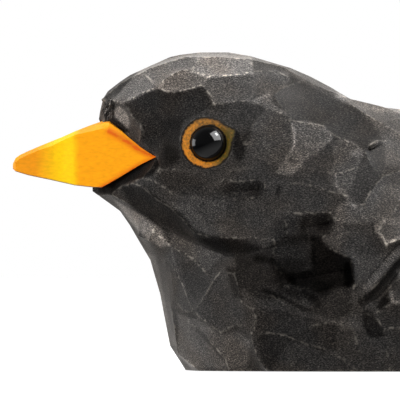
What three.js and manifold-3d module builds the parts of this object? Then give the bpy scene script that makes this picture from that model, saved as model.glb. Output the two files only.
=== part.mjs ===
// Carved blackbird bust: head, neck, breast and the front of the folded wings, cut flat underneath.
// Millimetres, +Z up. The bird faces -X and its left side faces -Y. Z = 0 is the flat cut it stands on.
import * as THREE from 'three';
import { mergeVertices } from 'three/addons/utils/BufferGeometryUtils.js';
import Module from 'manifold-3d';

const wasm = await Module();
wasm.setup();

// Wood left outside the finished form, which the knife then takes off.
const ALLOWANCE = 0.4;

// Sections of the blank from the face to the rump. Each runs from the throat or breast line (under) up to the
// crown or back line (over), is half wide, is widest the share wide of the way up, and is as square as said.
const SECTIONS = [
  { over: [-30.1, 49.8], under: [-31.9, 32.6], half: 6.6, wide: 0.48, square: 2.5 },
  { over: [-26.6, 52.4], under: [-29.0, 29.8], half: 8.4, wide: 0.48, square: 2.4 },
  { over: [-20.5, 55.7], under: [-25.6, 26.4], half: 11.2, wide: 0.5, square: 2.3 },
  { over: [-13.0, 57.6], under: [-23.4, 22.5], half: 13.5, wide: 0.52, square: 2.2 },
  { over: [-4.0, 57.2], under: [-21.3, 18.8], half: 15.0, wide: 0.52, square: 2.1 },
  { over: [5.0, 54.6], under: [-20.1, 14.8], half: 16.2, wide: 0.5, square: 2.1 },
  { over: [13.5, 50.2], under: [-19.1, 10.4], half: 18.2, wide: 0.48, square: 2.1 },
  { over: [22.5, 47.6], under: [-17.8, 4.0], half: 21.4, wide: 0.46, square: 2.15 },
  { over: [32.0, 43.2], under: [-14.5, -4.0], half: 23.8, wide: 0.45, square: 2.2 },
  { over: [39.8, 34.0], under: [-7.0, -12.0], half: 24.6, wide: 0.47, square: 2.2 },
  { over: [44.6, 21.0], under: [6.0, -17.0], half: 23.6, wide: 0.5, square: 2.2 },
  { over: [46.1, 7.0], under: [22.0, -18.0], half: 20.0, wide: 0.5, square: 2.1 },
  { over: [44.0, -7.0], under: [34.0, -15.0], half: 10.0, wide: 0.5, square: 2.0 },
];
// Sections along and points round of the blank that is cut, and of the finer one that cuts are placed on.
const BLANK_GRID = [22, 20];
const MEASURING_GRID = [140, 110];
// The curve through the sections' sizes runs evenly when shares count for as much as this many millimetres.
const SHARE_WEIGHT = 10;
// Farther out than any part of the blank, for measuring from the side.
const OUTSIDE = 80;

// Beak: a wedge whose flat sides widen from the tip by the spread for each millimetre back. Its rows run from
// the tip to the corner of the mouth: x, then the height of the ridge, of the side facet's upper edge and of
// its foot.
const BEAK = {
  tip: -46.4,
  tipHalf: 0.8,
  spread: 0.35,
  footShare: 0.94,
  footRise: 0.3,
  keelShare: 0.5,
  rows: [
    [-46.4, 37.6, 37.4, 36.3],
    [-44.6, 39.5, 38.7, 35.6],
    [-40.0, 41.7, 40.9, 34.6],
    [-35.8, 43.3, 42.5, 33.7],
    [-31.0, 45.1, 43.4, 33.1],
    [-28.6, 45.6, 43.8, 34.0],
    [-24.2, 44.0, 41.4, 36.9],
    [-20.4, 41.0, 38.8, 38.3],
  ],
};
// Bed of the beak on the face: an outline of x, z places from in front of the forehead over the top of the
// beak, the corner of the mouth and the chin. It clears the beak's flat side and flares as it goes out.
const MOUTH = {
  outline: [[-34, 46.5], [-29.2, 45.5], [-28.6, 43.7], [-20.4, 38.5], [-30.6, 33.2], [-34, 31.8]],
  middle: [-28, 38.6],
  clear: 0.05,
  out: 6,
  flare: 1.5,
};

// Eyes: round beads, sunk so that a little more than a third stands out.
const EYE = {
  x: -11.2,
  z: 41.45,
  radius: 3.5,
  gap: 0.35,
  sunk: 2.2,
  ring: 4.7,
  ringDepth: 0.8,
  floor: 1.2,
};
const EYE_GRID = [16, 10];
const RING_CUTTER = { height: 3, footHalf: 3.2 };
// Lens-shaped gouge at the back corner of the eye.
const CORNER = { x: -5.5, z: 40.4, reach: 2.6, width: 1.3, turn: 100, bite: 0.9, bulge: 3 };
// The breast's front edge is cut back where it meets the base.
const FRONT_FOOT = { x: -16.3, z: 1.4, slope: 42, reach: 9, width: 2.4 };

// Knife: the cutter is a shallow eight-sided wedge whose flat face makes the facet.
const KNIFE = { lift: 1.6, slope: 24, sides: 8 };
// The head's facets are smaller and shallower than the body's: spacing and bite at the face and at the rump.
const FACET = { spacing: [8, 11], bite: [0.42, 0.75] };
const PARING_TRIES = 9000;
// Cuts that would start lower than this are under the floor.
const LOWEST_CUT = -3;
// How much deeper than its bite a flat face may go where the form is hollow, judged this share of the way on.
const HOLLOW = { bite: 0.2, step: 0.04 };
// Rows of cuts along the middle, where the two sides meet.
const MIDDLE = {
  over: { spacing: 7, reach: 6, width: 4.4 },
  under: { spacing: 6, reach: 2.4, width: 5 },
  roll: 0.1,
};
// How far the right side's cuts may slip from the left side's.
const SLIP = { x: 1.5, z: 1, turn: 20, tilt: 6, bite: 0.2 };
// The knife starts a named cut this much further out.
const RUN_IN = 1;

// Knife cuts that give the carving its face. Each is centred at x, z on the side, reach and width are half
// its size, turn is the stroke's angle, lean tips the facet up and swing turns it to the tail, bite is its
// depth.
const CUTS = [
  { name: 'crown front', at: [-23.5, 52], reach: 6, width: 4, turn: 25, lean: 6, swing: -4, bite: 0.6 },
  { name: 'crown side', at: [-14.5, 52.5], reach: 3.6, width: 2, turn: 4, lean: 4, swing: 0, bite: 0.6 },
  { name: 'crown top', at: [-8.5, 55.5], reach: 6.5, width: 4.5, turn: -3, lean: 5, swing: 0, bite: 0.6 },
  { name: 'temple', at: [-6.5, 50.5], reach: 4.4, width: 3.2, turn: 0, lean: 2, swing: 0, bite: 0.6 },
  { name: 'nape top', at: [2, 53], reach: 5, width: 3.4, turn: -25, lean: 3, swing: 0, bite: 0.4 },
  { name: 'temple back', at: [-0.5, 48.5], reach: 3.3, width: 1.1, turn: -20, lean: 8, swing: 0, bite: 0.55 },
  { name: 'brow', at: [-18.5, 47], reach: 8.5, width: 4, turn: 8, lean: -5, swing: -2, bite: 0.8 },
  { name: 'forehead', at: [-26.5, 47], reach: 1.8, width: 2.2, turn: 60, lean: 4, swing: -14, bite: 0.7 },
  { name: 'lores', at: [-19.5, 42], reach: 3.6, width: 3, turn: -20, lean: -4, swing: -6, bite: 0.6 },
  { name: 'over the ear', at: [0.5, 43.5], reach: 3.6, width: 3.1, turn: -10, lean: -3, swing: 2, bite: 0.8 },
  { name: 'under eye', at: [-16.5, 38.5], reach: 4.4, width: 2, turn: -5, lean: -8, swing: -2, bite: 0.6 },
  { name: 'jaw', at: [-16.5, 33.5], reach: 4.7, width: 2.4, turn: -18, lean: -10, swing: 0, bite: 0.6 },
  { name: 'cheek hollow', at: [-4, 33], reach: 3.6, width: 1.4, turn: 3, lean: -18, swing: 0, bite: 0.7 },
  { name: 'cheek', at: [-8.5, 28], reach: 6.2, width: 2.9, turn: -8, lean: -9, swing: 0, bite: 0.75 },
  { name: 'ear', at: [-1, 38], reach: 3.3, width: 2.2, turn: -10, lean: -4, swing: 2, bite: 0.75 },
  { name: 'under the ear', at: [-8, 36], reach: 3.3, width: 1.8, turn: -5, lean: -6, swing: 0, bite: 0.6 },
  { name: 'neck top', at: [8, 40.5], reach: 2.7, width: 3.5, turn: 60, lean: 0, swing: 4, bite: 0.5 },
  { name: 'nape strip', at: [14, 49], reach: 6, width: 2.4, turn: -32, lean: 6, swing: 0, bite: 0.3 },
  { name: 'nape side', at: [10.5, 46], reach: 4, width: 2.4, turn: -30, lean: 4, swing: 2, bite: 0.35 },
  { name: 'mantle edge', at: [17.5, 43.5], reach: 4.4, width: 2.5, turn: -24, lean: 4, swing: 2, bite: 0.4 },
  { name: 'neck middle', at: [14, 37], reach: 5.1, width: 2.9, turn: 0, lean: 2, swing: 2, bite: 0.45 },
  { name: 'neck side', at: [10, 30.5], reach: 5.1, width: 1.8, turn: -4, lean: -6, swing: 0, bite: 0.7 },
  { name: 'neck hollow', at: [9.5, 26], reach: 2.8, width: 1.6, turn: 30, lean: -20, swing: -6, bite: 0.9 },
  { name: 'shoulder top', at: [22, 30], reach: 4, width: 3.6, turn: -35, lean: 3, swing: 4, bite: 0.6 },
  { name: 'neck front', at: [3, 26.5], reach: 4, width: 2.9, turn: -10, lean: -6, swing: -2, bite: 0.6 },
  { name: 'breast hollow', at: [9, 18.5], reach: 5.4, width: 1.8, turn: 6, lean: -20, swing: -3, bite: 0.95 },
  { name: 'shoulder', at: [16.5, 22], reach: 3.6, width: 3.6, turn: 55, lean: 2, swing: 3, bite: 0.55 },
  { name: 'flank upper', at: [4.5, 14], reach: 6.9, width: 1.6, turn: -12, lean: -8, swing: 0, bite: 0.75 },
  { name: 'flank rise', at: [11.5, 12.5], reach: 4, width: 2, turn: 20, lean: 0, swing: 2, bite: 0.55 },
  { name: 'flank', at: [4.5, 8], reach: 7.3, width: 2.2, turn: -14, lean: -6, swing: 0, bite: 0.6 },
  { name: 'flank rear', at: [15.5, 6], reach: 4.7, width: 2.4, turn: -18, lean: -4, swing: 2, bite: 0.6 },
  { name: 'flank low', at: [6, 3], reach: 7.3, width: 2, turn: -14, lean: -5, swing: 0, bite: 0.7 },
  { name: 'flank foot', at: [19.5, 3.5], reach: 4.4, width: 2.2, turn: -10, lean: -2, swing: 3, bite: 0.6 },
  { name: 'throat', at: [-24.5, 28.3], reach: 2, width: 5, turn: -47, lean: 0, swing: 0, bite: 0.45 },
  { name: 'throat side', at: [-19, 22.5], reach: 2.4, width: 5, turn: -56, lean: 0, swing: 0, bite: 0.45 },
  { name: 'under the jaw', at: [-12, 20.5], reach: 4, width: 1.6, turn: -24, lean: 4, swing: -4, bite: 0.6 },
  { name: 'breast front', at: [-17.5, 14.5], reach: 5.5, width: 6, turn: -70, lean: 2, swing: -4, bite: 0.5 },
  { name: 'breast upper', at: [-12.5, 15], reach: 4, width: 3, turn: -50, lean: 2, swing: -6, bite: 0.6 },
  { name: 'breast middle', at: [-7.5, 15], reach: 4, width: 2.2, turn: -70, lean: 0, swing: -6, bite: 0.6 },
  { name: 'breast side', at: [-6.5, 8.5], reach: 4.5, width: 2.5, turn: -62, lean: 1, swing: -8, bite: 0.65 },
  { name: 'breast edge', at: [-14.5, 8], reach: 5.5, width: 6, turn: -72, lean: 2, swing: -4, bite: 0.5 },
  { name: 'breast low', at: [-11.5, 3.5], reach: 4.4, width: 4, turn: -60, lean: 1, swing: -8, bite: 0.6 },
  { name: 'breast foot', at: [-5.5, 4], reach: 4, width: 2, turn: -70, lean: 0, swing: -6, bite: 0.6 },
];

// Grooves along a line of x, z places on the side: a long face from above and a short one from below meet at
// depth. The cutter goes on past both faces by the share over, and stands clear of the skin by out.
const GROOVE = { steps: 2, over: 1.5, out: 5 };
const GROOVES = {
  jaw: {
    line: [
      [-27, 31.4], [-25, 30], [-22, 27.6], [-18.5, 24.8],
      [-13.8, 23], [-9, 21.3], [-3, 21.8], [2.5, 23.6],
    ],
    above: [3.4, 5, 7, 6.5, 4, 3, 3, 1.5],
    below: [0.8, 1.2, 1.6, 2.2, 2.6, 2.6, 2.6, 2],
    depth: [0.9, 1.5, 2.2, 2.3, 2.1, 2, 1.6, 0.3],
  },
  mouthUnder: {
    line: [[-31.2, 32.9], [-27.4, 34.7], [-23.4, 36.9], [-20, 38.5]],
    above: [0.4, 0.4, 0.4, 0.4],
    below: [1.2, 2.4, 2.6, 1],
    depth: [0.9, 1.5, 1.3, 0.3],
  },
  mouthOver: {
    line: [[-29, 44.2], [-26.6, 43.2], [-23.6, 41.2], [-20.2, 38.9]],
    above: [1.6, 1.4, 1.2, 0.8],
    below: [0.3, 0.3, 0.3, 0.3],
    depth: [0.9, 0.7, 0.5, 0.2],
  },
  wingUpper: {
    line: [
      [15.2, 12], [18.5, 14.6], [22.5, 18.4], [31.3, 25.1],
      [38.2, 23.6], [42.2, 17.3], [43.6, 7.3], [43.8, -2],
    ],
    above: [0.8, 2, 2.2, 2.2, 2.2, 2, 2, 2],
    below: [1, 2.6, 3, 3, 3, 2.6, 2.4, 2.4],
    depth: [0.2, 1.1, 1.3, 1.3, 1.2, 1.1, 1, 1],
  },
  wingLower: {
    line: [[15.2, 12.2], [18.9, 8.2], [22.5, 3.6], [26.2, -1.5]],
    above: [1, 2.6, 3, 3],
    below: [0.8, 1.4, 1.6, 1.6],
    depth: [0.2, 0.7, 0.9, 0.9],
  },
};

let seed = 20;
function random() {
  seed = (seed * 1664525 + 1013904223) % 4294967296;
  return seed / 4294967296;
}

// A closed three.js geometry as a solid that can be cut, turned right side out.
function solid(geometry) {
  const g = geometry.clone();
  for (const name of Object.keys(g.attributes)) if (name !== 'position') g.deleteAttribute(name);
  const merged = mergeVertices(g, 1e-5);
  const points = merged.attributes.position.array;
  const faces = [...merged.index.array];
  let volume = 0;
  const [a, b, c] = [new THREE.Vector3(), new THREE.Vector3(), new THREE.Vector3()];
  const kept = [];
  for (let i = 0; i < faces.length; i += 3) {
    const [p, q, r] = faces.slice(i, i + 3);
    if (p === q || q === r || r === p) continue;
    kept.push(p, q, r);
    volume += a.fromArray(points, 3 * p).dot(b.fromArray(points, 3 * q).cross(c.fromArray(points, 3 * r)));
  }
  if (volume < 0) kept.reverse();
  return new wasm.Manifold(new wasm.Mesh({
    numProp: 3, vertProperties: Float32Array.from(points), triVerts: Uint32Array.from(kept),
  }));
}

// And back again.
function geometryOf(manifold) {
  const mesh = manifold.getMesh();
  const g = new THREE.BufferGeometry();
  g.setAttribute('position', new THREE.BufferAttribute(Float32Array.from(mesh.vertProperties), 3));
  g.setIndex(new THREE.BufferAttribute(Uint32Array.from(mesh.triVerts), 1));
  return g;
}

// Skin over a row of closed rings of points, with a flat fan at each end.
function loft(rings) {
  const count = rings[0].length;
  const points = rings.flat();
  const faces = [];
  for (let r = 0; r + 1 < rings.length; r++) {
    for (let i = 0; i < count; i++) {
      const j = (i + 1) % count;
      const [a, b] = [r * count, (r + 1) * count];
      faces.push(a + i, a + j, b + j, a + i, b + j, b + i);
    }
  }
  for (const [ring, flip] of [[0, true], [rings.length - 1, false]]) {
    const middle = rings[ring].reduce((sum, p) => sum.add(p), new THREE.Vector3()).divideScalar(count);
    points.push(middle);
    for (let i = 0; i < count; i++) {
      const [a, b] = [ring * count + i, ring * count + (i + 1) % count];
      faces.push(...(flip ? [points.length - 1, b, a] : [points.length - 1, a, b]));
    }
  }
  const g = new THREE.BufferGeometry();
  g.setAttribute('position', new THREE.Float32BufferAttribute(points.flatMap((p) => [p.x, p.y, p.z]), 3));
  g.setIndex(faces);
  return g;
}

const curveOf = (pick) => new THREE.CatmullRomCurve3(SECTIONS.map(pick));
const overLine = curveOf((s) => new THREE.Vector3(s.over[0], 0, s.over[1]));
const underLine = curveOf((s) => new THREE.Vector3(s.under[0], 0, s.under[1]));
const girth = curveOf((s) => new THREE.Vector3(s.half, SHARE_WEIGHT * s.wide, SHARE_WEIGHT * s.square));

// A point of the blank: u runs from the face to the rump, angle goes round the section from the left side up.
function formPoint(u, angle) {
  const [over, under, size] = [overLine.getPoint(u), underLine.getPoint(u), girth.getPoint(u)];
  const [wide, power] = [size.y / SHARE_WEIGHT, (2 * SHARE_WEIGHT) / size.z];
  const bend = (v) => Math.sign(v) * Math.abs(v) ** power;
  const [side, rise] = [bend(Math.cos(angle)), bend(Math.sin(angle))];
  const along = rise > 0 ? wide + rise * (1 - wide) : wide + rise * wide;
  const outward = over.clone().sub(under).normalize().multiplyScalar(ALLOWANCE * rise);
  const p = under.lerp(over, along).add(outward);
  p.y = -side * (size.x + ALLOWANCE);
  return p;
}

// The blank as a closed skin of that many sections along and points round.
function blank([count, points]) {
  const rings = [];
  for (let r = 0; r <= count; r++) {
    const ring = [];
    for (let i = 0; i < points; i++) {
      ring.push(formPoint(r / count, ((i + 0.5) / points) * 2 * Math.PI));
    }
    rings.push(ring);
  }
  return loft(rings);
}

const skin = new THREE.MeshBasicMaterial({ side: THREE.DoubleSide });
const measured = new THREE.Mesh(blank(MEASURING_GRID), skin);
const ray = new THREE.Raycaster();

// The blank's surface seen from the left, at x along and z up.
function onSide(x, z) {
  ray.set(new THREE.Vector3(x, -OUTSIDE, z), new THREE.Vector3(0, 1, 0));
  const hit = ray.intersectObject(measured)[0];
  if (!hit) return null;
  const normal = hit.face.normal.clone();
  if (normal.y > 0) normal.negate();
  return { point: hit.point.clone(), normal };
}

// One knife cut: a flat face set the bite under the surface, half as long as reach says along the stroke.
function paring(point, normal, stroke, reach, width, bite) {
  const across = new THREE.Vector3().crossVectors(stroke, normal).normalize();
  const along = new THREE.Vector3().crossVectors(normal, across).normalize();
  const shape = new THREE.CylinderGeometry(1, 1, 1, KNIFE.sides);
  const at = shape.attributes.position;
  const p = new THREE.Vector3();
  const rim = (KNIFE.lift + bite) / Math.tan(THREE.MathUtils.degToRad(KNIFE.slope));
  for (let i = 0; i < at.count; i++) {
    p.fromBufferAttribute(at, i);
    const flare = p.y > 0 ? rim : 0;
    const round = Math.hypot(p.x, p.z) || 1;
    const [a, b] = [p.x * (reach + flare / round), p.z * (width + flare / round)];
    const lift = p.y > 0 ? KNIFE.lift : -bite;
    p.copy(point).addScaledVector(along, a).addScaledVector(across, b).addScaledVector(normal, lift);
    at.setXYZ(i, p.x, p.y, p.z);
  }
  return solid(shape);
}

// The same cut on the right side.
const mirror = (manifold) => manifold.mirror([0, 1, 0]);

// Normal turned by lean degrees upward and swing degrees towards the tail.
function tilted(normal, lean, swing) {
  return normal.clone()
    .applyAxisAngle(new THREE.Vector3(1, 0, 0), THREE.MathUtils.degToRad(-lean))
    .applyAxisAngle(new THREE.Vector3(0, 0, 1), THREE.MathUtils.degToRad(swing))
    .normalize();
}

// A facet's spacing or bite at u.
const facet = (what, u) => THREE.MathUtils.lerp(...FACET[what], THREE.MathUtils.smoothstep(u, 0.3, 0.75));

// How far a flat face may run along the body where the form is hollow, as at the throat and nape.
function reachInHollow(u, angle, normal) {
  const before = formPoint(Math.max(u - HOLLOW.step, 0), angle);
  const after = formPoint(Math.min(u + HOLLOW.step, 1), angle);
  const sag = before.clone().add(after).multiplyScalar(0.5).sub(formPoint(u, angle)).dot(normal);
  return sag > 0 ? (before.distanceTo(after) / 2) * Math.sqrt(HOLLOW.bite / sag) : Infinity;
}

// Places for the first, overall paring, spread evenly over the blank.
function roughCuts() {
  const kept = [];
  for (let tries = 0; tries < PARING_TRIES; tries++) {
    const [u, angle] = [0.01 + 0.98 * random(), random() * 2 * Math.PI];
    const p = formPoint(u, angle);
    if (p.z < LOWEST_CUT || kept.some((k) => k.p.distanceTo(p) < facet('spacing', u))) continue;
    const [du, da] = [formPoint(Math.min(u + 0.004, 1), angle), formPoint(u, angle + 0.02)];
    const normal = new THREE.Vector3().crossVectors(da.sub(p), du.clone().sub(p)).normalize();
    if (normal.dot(p.clone().sub(new THREE.Vector3(0, 0, 20))) < 0) normal.negate();
    kept.push({ u, angle, p, normal, stroke: du.sub(p).normalize() });
  }
  return kept.map(({ u, angle, p, normal, stroke }) => {
    const n = tilted(normal, 8 * (random() - 0.5), 8 * (random() - 0.5));
    const size = facet('spacing', u) * (0.85 + 0.4 * random());
    const reach = Math.min(size, reachInHollow(u, angle, normal));
    return paring(p, n, stroke, reach, 0.7 * size, facet('bite', u) * (0.8 + 0.4 * random()));
  });
}

// Flat faces across the middle of the crown, nape and back, and down the throat and breast.
function middleCuts() {
  const cuts = [];
  const rows = [{ line: overLine, way: 1, ...MIDDLE.over }, { line: underLine, way: -1, ...MIDDLE.under }];
  for (const { line, way, spacing, reach, width } of rows) {
    const count = Math.round(line.getLength() / spacing);
    for (let i = 0; i < count; i++) {
      const u = line.getUtoTmapping((i + 0.5 + 0.3 * (random() - 0.5)) / count);
      const [p, stroke] = [line.getPoint(u), line.getTangent(u)];
      if (p.z < LOWEST_CUT) continue;
      const normal = new THREE.Vector3(-stroke.z, 0, stroke.x).multiplyScalar(way);
      p.addScaledVector(normal, ALLOWANCE);
      const bite = facet('bite', u) * (0.85 + 0.3 * random());
      normal.applyAxisAngle(stroke, MIDDLE.roll * (random() - 0.5));
      cuts.push(paring(p, normal, stroke, reach, width, bite));
    }
  }
  return cuts;
}

// The right side is plainer: it has two cuts out of three, each slipped a little from its place.
function namedCuts(side) {
  const slip = (range) => (side > 0 ? 0 : range * (random() - 0.5));
  const cuts = side > 0 ? CUTS : CUTS.filter((cut, i) => i % 3 !== 1);
  return cuts.flatMap(({ at, reach, width, turn, lean, swing, bite }) => {
    const place = onSide(at[0] + slip(SLIP.x), at[1] + slip(SLIP.z));
    const angle = THREE.MathUtils.degToRad(turn + slip(SLIP.turn));
    const stroke = new THREE.Vector3(Math.cos(angle), 0, Math.sin(angle));
    const normal = tilted(place.normal, lean + slip(SLIP.tilt), swing + slip(SLIP.tilt));
    const [long, broad, deep] = [reach + RUN_IN, width + RUN_IN, bite + slip(SLIP.bite)];
    const cut = paring(place.point, normal, stroke, long, broad, deep);
    return [side > 0 ? cut : mirror(cut)];
  });
}

// The groove's cutter: at each step a four-cornered section, with its point under the skin and the rest
// outside.
function groove({ line, above, below, depth }) {
  const path = new THREE.CatmullRomCurve3(line.map(([x, z]) => new THREE.Vector3(x, 0, z)));
  const sizes = new THREE.CatmullRomCurve3(above.map((a, i) => new THREE.Vector3(a, below[i], depth[i])));
  const steps = GROOVE.steps * (line.length - 1);
  const rings = [];
  for (let i = 0; i <= steps; i++) {
    const [at, size, way] = [path.getPoint(i / steps), sizes.getPoint(i / steps), path.getTangent(i / steps)];
    const place = onSide(at.x, at.z);
    const up = new THREE.Vector3(-way.z, 0, way.x);
    const upper = onSide(at.x + up.x * size.x, at.z + up.z * size.x);
    const lower = onSide(at.x - up.x * size.y, at.z - up.z * size.y);
    const across = new THREE.Vector3().crossVectors(way, place.normal).normalize();
    if (across.dot(up) < 0) across.negate();
    const point = place.point.clone().addScaledVector(place.normal, -size.z);
    const top = upper ? upper.point : place.point.clone().addScaledVector(across, size.x);
    const foot = lower ? lower.point : place.point.clone().addScaledVector(across, -size.y);
    rings.push([
      point,
      point.clone().lerp(top, GROOVE.over),
      place.point.clone().addScaledVector(place.normal, GROOVE.out),
      point.clone().lerp(foot, GROOVE.over),
    ]);
  }
  return solid(loft(rings));
}

// Half-thickness of the beak's flat sides at x.
const beakHalf = (x) => BEAK.tipHalf + BEAK.spread * (x - BEAK.tip);

// The beak's own wedge, which runs on into the head.
function beak() {
  const rings = BEAK.rows.map(([x, ridge, upper, foot]) => {
    const half = beakHalf(x);
    const [low, keel] = [half * BEAK.footShare, half * BEAK.keelShare];
    const corner = (y, z) => new THREE.Vector3(x, y, z);
    return [
      corner(0, ridge), corner(half, upper), corner(low, foot + BEAK.footRise), corner(keel, foot),
      corner(-keel, foot), corner(-low, foot + BEAK.footRise), corner(-half, upper),
    ];
  });
  return solid(loft(rings));
}

// The bed of the beak's side: wood outside its flat sides comes away as far as the corner of the mouth.
function mouthCut() {
  const [mx, mz] = MOUTH.middle;
  const row = (out, grow) => MOUTH.outline.map(([x, z]) => (
    new THREE.Vector3(mx + (x - mx) * grow, -beakHalf(x) - out, mz + (z - mz) * grow)
  ));
  return solid(loft([row(MOUTH.clear, 1), row(MOUTH.out, MOUTH.flare)]));
}

// A gouge with a round sweep: an ellipsoid that goes the bite under the surface and comes out at reach and
// width.
function gouge({ x, z, reach, width, turn, bite, bulge }) {
  const place = onSide(x, z);
  const angle = THREE.MathUtils.degToRad(turn);
  const stroke = new THREE.Vector3(Math.cos(angle), 0, Math.sin(angle));
  const across = new THREE.Vector3().crossVectors(stroke, place.normal).normalize();
  const along = new THREE.Vector3().crossVectors(place.normal, across).normalize();
  const deep = bulge * bite;
  const share = Math.sqrt(1 - ((deep - bite) / deep) ** 2);
  const shape = new THREE.SphereGeometry(1, 12, 8);
  shape.scale(reach / share, width / share, deep);
  shape.applyMatrix4(new THREE.Matrix4().makeBasis(along, across, place.normal));
  const at = place.point.clone().addScaledVector(place.normal, deep - bite);
  shape.translate(at.x, at.y, at.z);
  return solid(shape);
}

// The flat cut across the foot of the breast.
function footCut() {
  const { x, z, slope, reach, width } = FRONT_FOOT;
  const angle = THREE.MathUtils.degToRad(slope);
  const normal = new THREE.Vector3(-Math.cos(angle), 0, -Math.sin(angle));
  return paring(new THREE.Vector3(x, 0, z), normal, new THREE.Vector3(0, 1, 0), reach, width, 0);
}

// A bead's centre, and the cutters for its corner, its sunk ring and its socket.
function eyeTools() {
  const place = onSide(EYE.x, EYE.z);
  const centre = place.point.clone().addScaledVector(place.normal, -EYE.sunk);
  const socket = new THREE.SphereGeometry(EYE.radius + EYE.gap, ...EYE_GRID);
  socket.translate(centre.x, centre.y, centre.z);
  const { height, footHalf } = RING_CUTTER;
  const flare = ((EYE.ring - EYE.radius) / EYE.ringDepth) * (height - EYE.ringDepth);
  const sink = new THREE.CylinderGeometry(EYE.ring + flare, footHalf, height, EYE_GRID[0]);
  sink.translate(0, height / 2 - EYE.floor, 0);
  sink.applyQuaternion(new THREE.Quaternion().setFromUnitVectors(new THREE.Vector3(0, 1, 0), place.normal));
  sink.translate(place.point.x, place.point.y, place.point.z);
  return { centre, tools: [gouge(CORNER), solid(sink), solid(socket)] };
}

const eye = eyeTools();

// The whole carving in one block, in the order in which it is cut.
function carvedBody() {
  let body = solid(blank(BLANK_GRID));
  for (const cut of roughCuts()) body = body.subtract(cut);
  for (const side of [1, -1]) {
    for (const cut of namedCuts(side)) body = body.subtract(cut);
    const bed = mouthCut();
    body = body.subtract(side > 0 ? bed : mirror(bed));
  }
  for (const cut of middleCuts()) body = body.subtract(cut);
  body = body.subtract(footCut()).add(beak());
  for (const shape of Object.values(GROOVES)) {
    const cutter = groove(shape);
    body = body.subtract(cutter).subtract(mirror(cutter));
  }
  for (const tool of eye.tools) body = body.subtract(tool).subtract(mirror(tool));
  const floor = new THREE.BoxGeometry(2 * OUTSIDE, 2 * OUTSIDE, OUTSIDE);
  floor.translate(0, 0, -OUTSIDE / 2);
  body = body.subtract(solid(floor));
  return geometryOf(body);
}

const wood = new THREE.MeshStandardMaterial({ color: 0x3a3835, roughness: 0.6, metalness: 0 });
const glass = new THREE.MeshStandardMaterial({ color: 0x050505, roughness: 0.05, metalness: 0 });

const bust = new THREE.Group();
const body = new THREE.Mesh(carvedBody(), wood);
body.name = 'carved_body';
bust.add(body);
for (const [name, side] of [['glass_eye_left', 1], ['glass_eye_right', -1]]) {
  const bead = new THREE.Mesh(new THREE.SphereGeometry(EYE.radius, ...EYE_GRID), glass);
  bead.name = name;
  bead.position.set(eye.centre.x, eye.centre.y * side, eye.centre.z);
  bust.add(bead);
}

// The two sides differ a little, so the whole is moved until the middle of its box stands over the origin.
const box = new THREE.Box3().setFromObject(bust);
bust.position.set(-(box.min.x + box.max.x) / 2, -(box.min.y + box.max.y) / 2, 0);

export default bust;
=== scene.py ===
"""Hand-carved wooden blackbird bust: knife-cut stained wood, a painted bill and inset glass eyes.

The skin of the bust is draped between the ridges and creases that the knife leaves. Each of them is named
below and placed on the side of the bird in millimetres, x along the body and z up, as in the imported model.
"""

from __future__ import annotations

import logging
import math
from dataclasses import dataclass, field
from enum import Enum
from functools import partial

import bmesh
import bpy
import numpy as np
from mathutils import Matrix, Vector
from mathutils.bvhtree import BVHTree


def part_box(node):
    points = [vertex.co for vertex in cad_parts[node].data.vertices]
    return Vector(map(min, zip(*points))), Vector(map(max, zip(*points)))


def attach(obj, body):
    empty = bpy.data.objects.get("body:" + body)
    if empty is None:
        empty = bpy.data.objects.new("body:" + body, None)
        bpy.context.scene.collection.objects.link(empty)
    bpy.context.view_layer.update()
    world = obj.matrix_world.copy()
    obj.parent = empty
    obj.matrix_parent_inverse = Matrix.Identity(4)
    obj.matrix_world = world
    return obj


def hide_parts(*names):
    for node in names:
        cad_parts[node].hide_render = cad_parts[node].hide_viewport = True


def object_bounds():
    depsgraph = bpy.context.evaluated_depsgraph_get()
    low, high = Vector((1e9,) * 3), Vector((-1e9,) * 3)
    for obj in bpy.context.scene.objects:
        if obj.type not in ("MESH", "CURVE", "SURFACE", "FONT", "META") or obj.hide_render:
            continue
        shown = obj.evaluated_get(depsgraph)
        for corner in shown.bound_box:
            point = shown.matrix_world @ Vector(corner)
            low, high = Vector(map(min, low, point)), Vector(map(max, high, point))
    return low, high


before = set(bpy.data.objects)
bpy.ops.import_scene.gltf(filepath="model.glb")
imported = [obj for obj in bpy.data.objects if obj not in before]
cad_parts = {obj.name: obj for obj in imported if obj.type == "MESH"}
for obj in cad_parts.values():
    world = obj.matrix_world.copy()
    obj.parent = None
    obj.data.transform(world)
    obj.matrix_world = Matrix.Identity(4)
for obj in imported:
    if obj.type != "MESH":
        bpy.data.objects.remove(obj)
CAD_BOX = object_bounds()

log = logging.getLogger("blackbird")
logging.basicConfig(level=logging.INFO, format="%(message)s")

MM = 0.001
# Where the bill's tip is among the places named below.
TIP = -46.4
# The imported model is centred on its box, so it stands this far along x from those places.
SHIFT = CAD_BOX[0][0] / MM - TIP
# Where rays start that look for the block from the side and from above, in millimetres.
BESIDE = 80.0
OVERHEAD = 100.0
Place = tuple[float, float]
Array = np.ndarray
Started = tuple[bpy.types.Material, bpy.types.NodeTree, bpy.types.Node]
Given = dict[str, bpy.types.NodeSocket]


def spots(*numbers: float) -> tuple[Place, ...]:
    """Pairs up numbers that are given as x, z, x, z and so on."""
    return tuple(zip(numbers[::2], numbers[1::2]))


class Side(Enum):
    """The two sides of the bird, by the sign of y."""

    LEFT = -1
    RIGHT = 1


class Seen(Enum):
    """How a line's places are given."""

    SIDE = "x and z, found on the form from the side"
    TOP = "x and y, found on the form from above"
    MIDDLE = "x and z, on the middle of the bird"
    BILL = "x and z, level with the flat side of the bill"


class Zone(Enum):
    """The finishes of the carved block, in the order of its material slots."""

    STAINED = 0
    BILL = 1
    EYE_RING = 2


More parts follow.
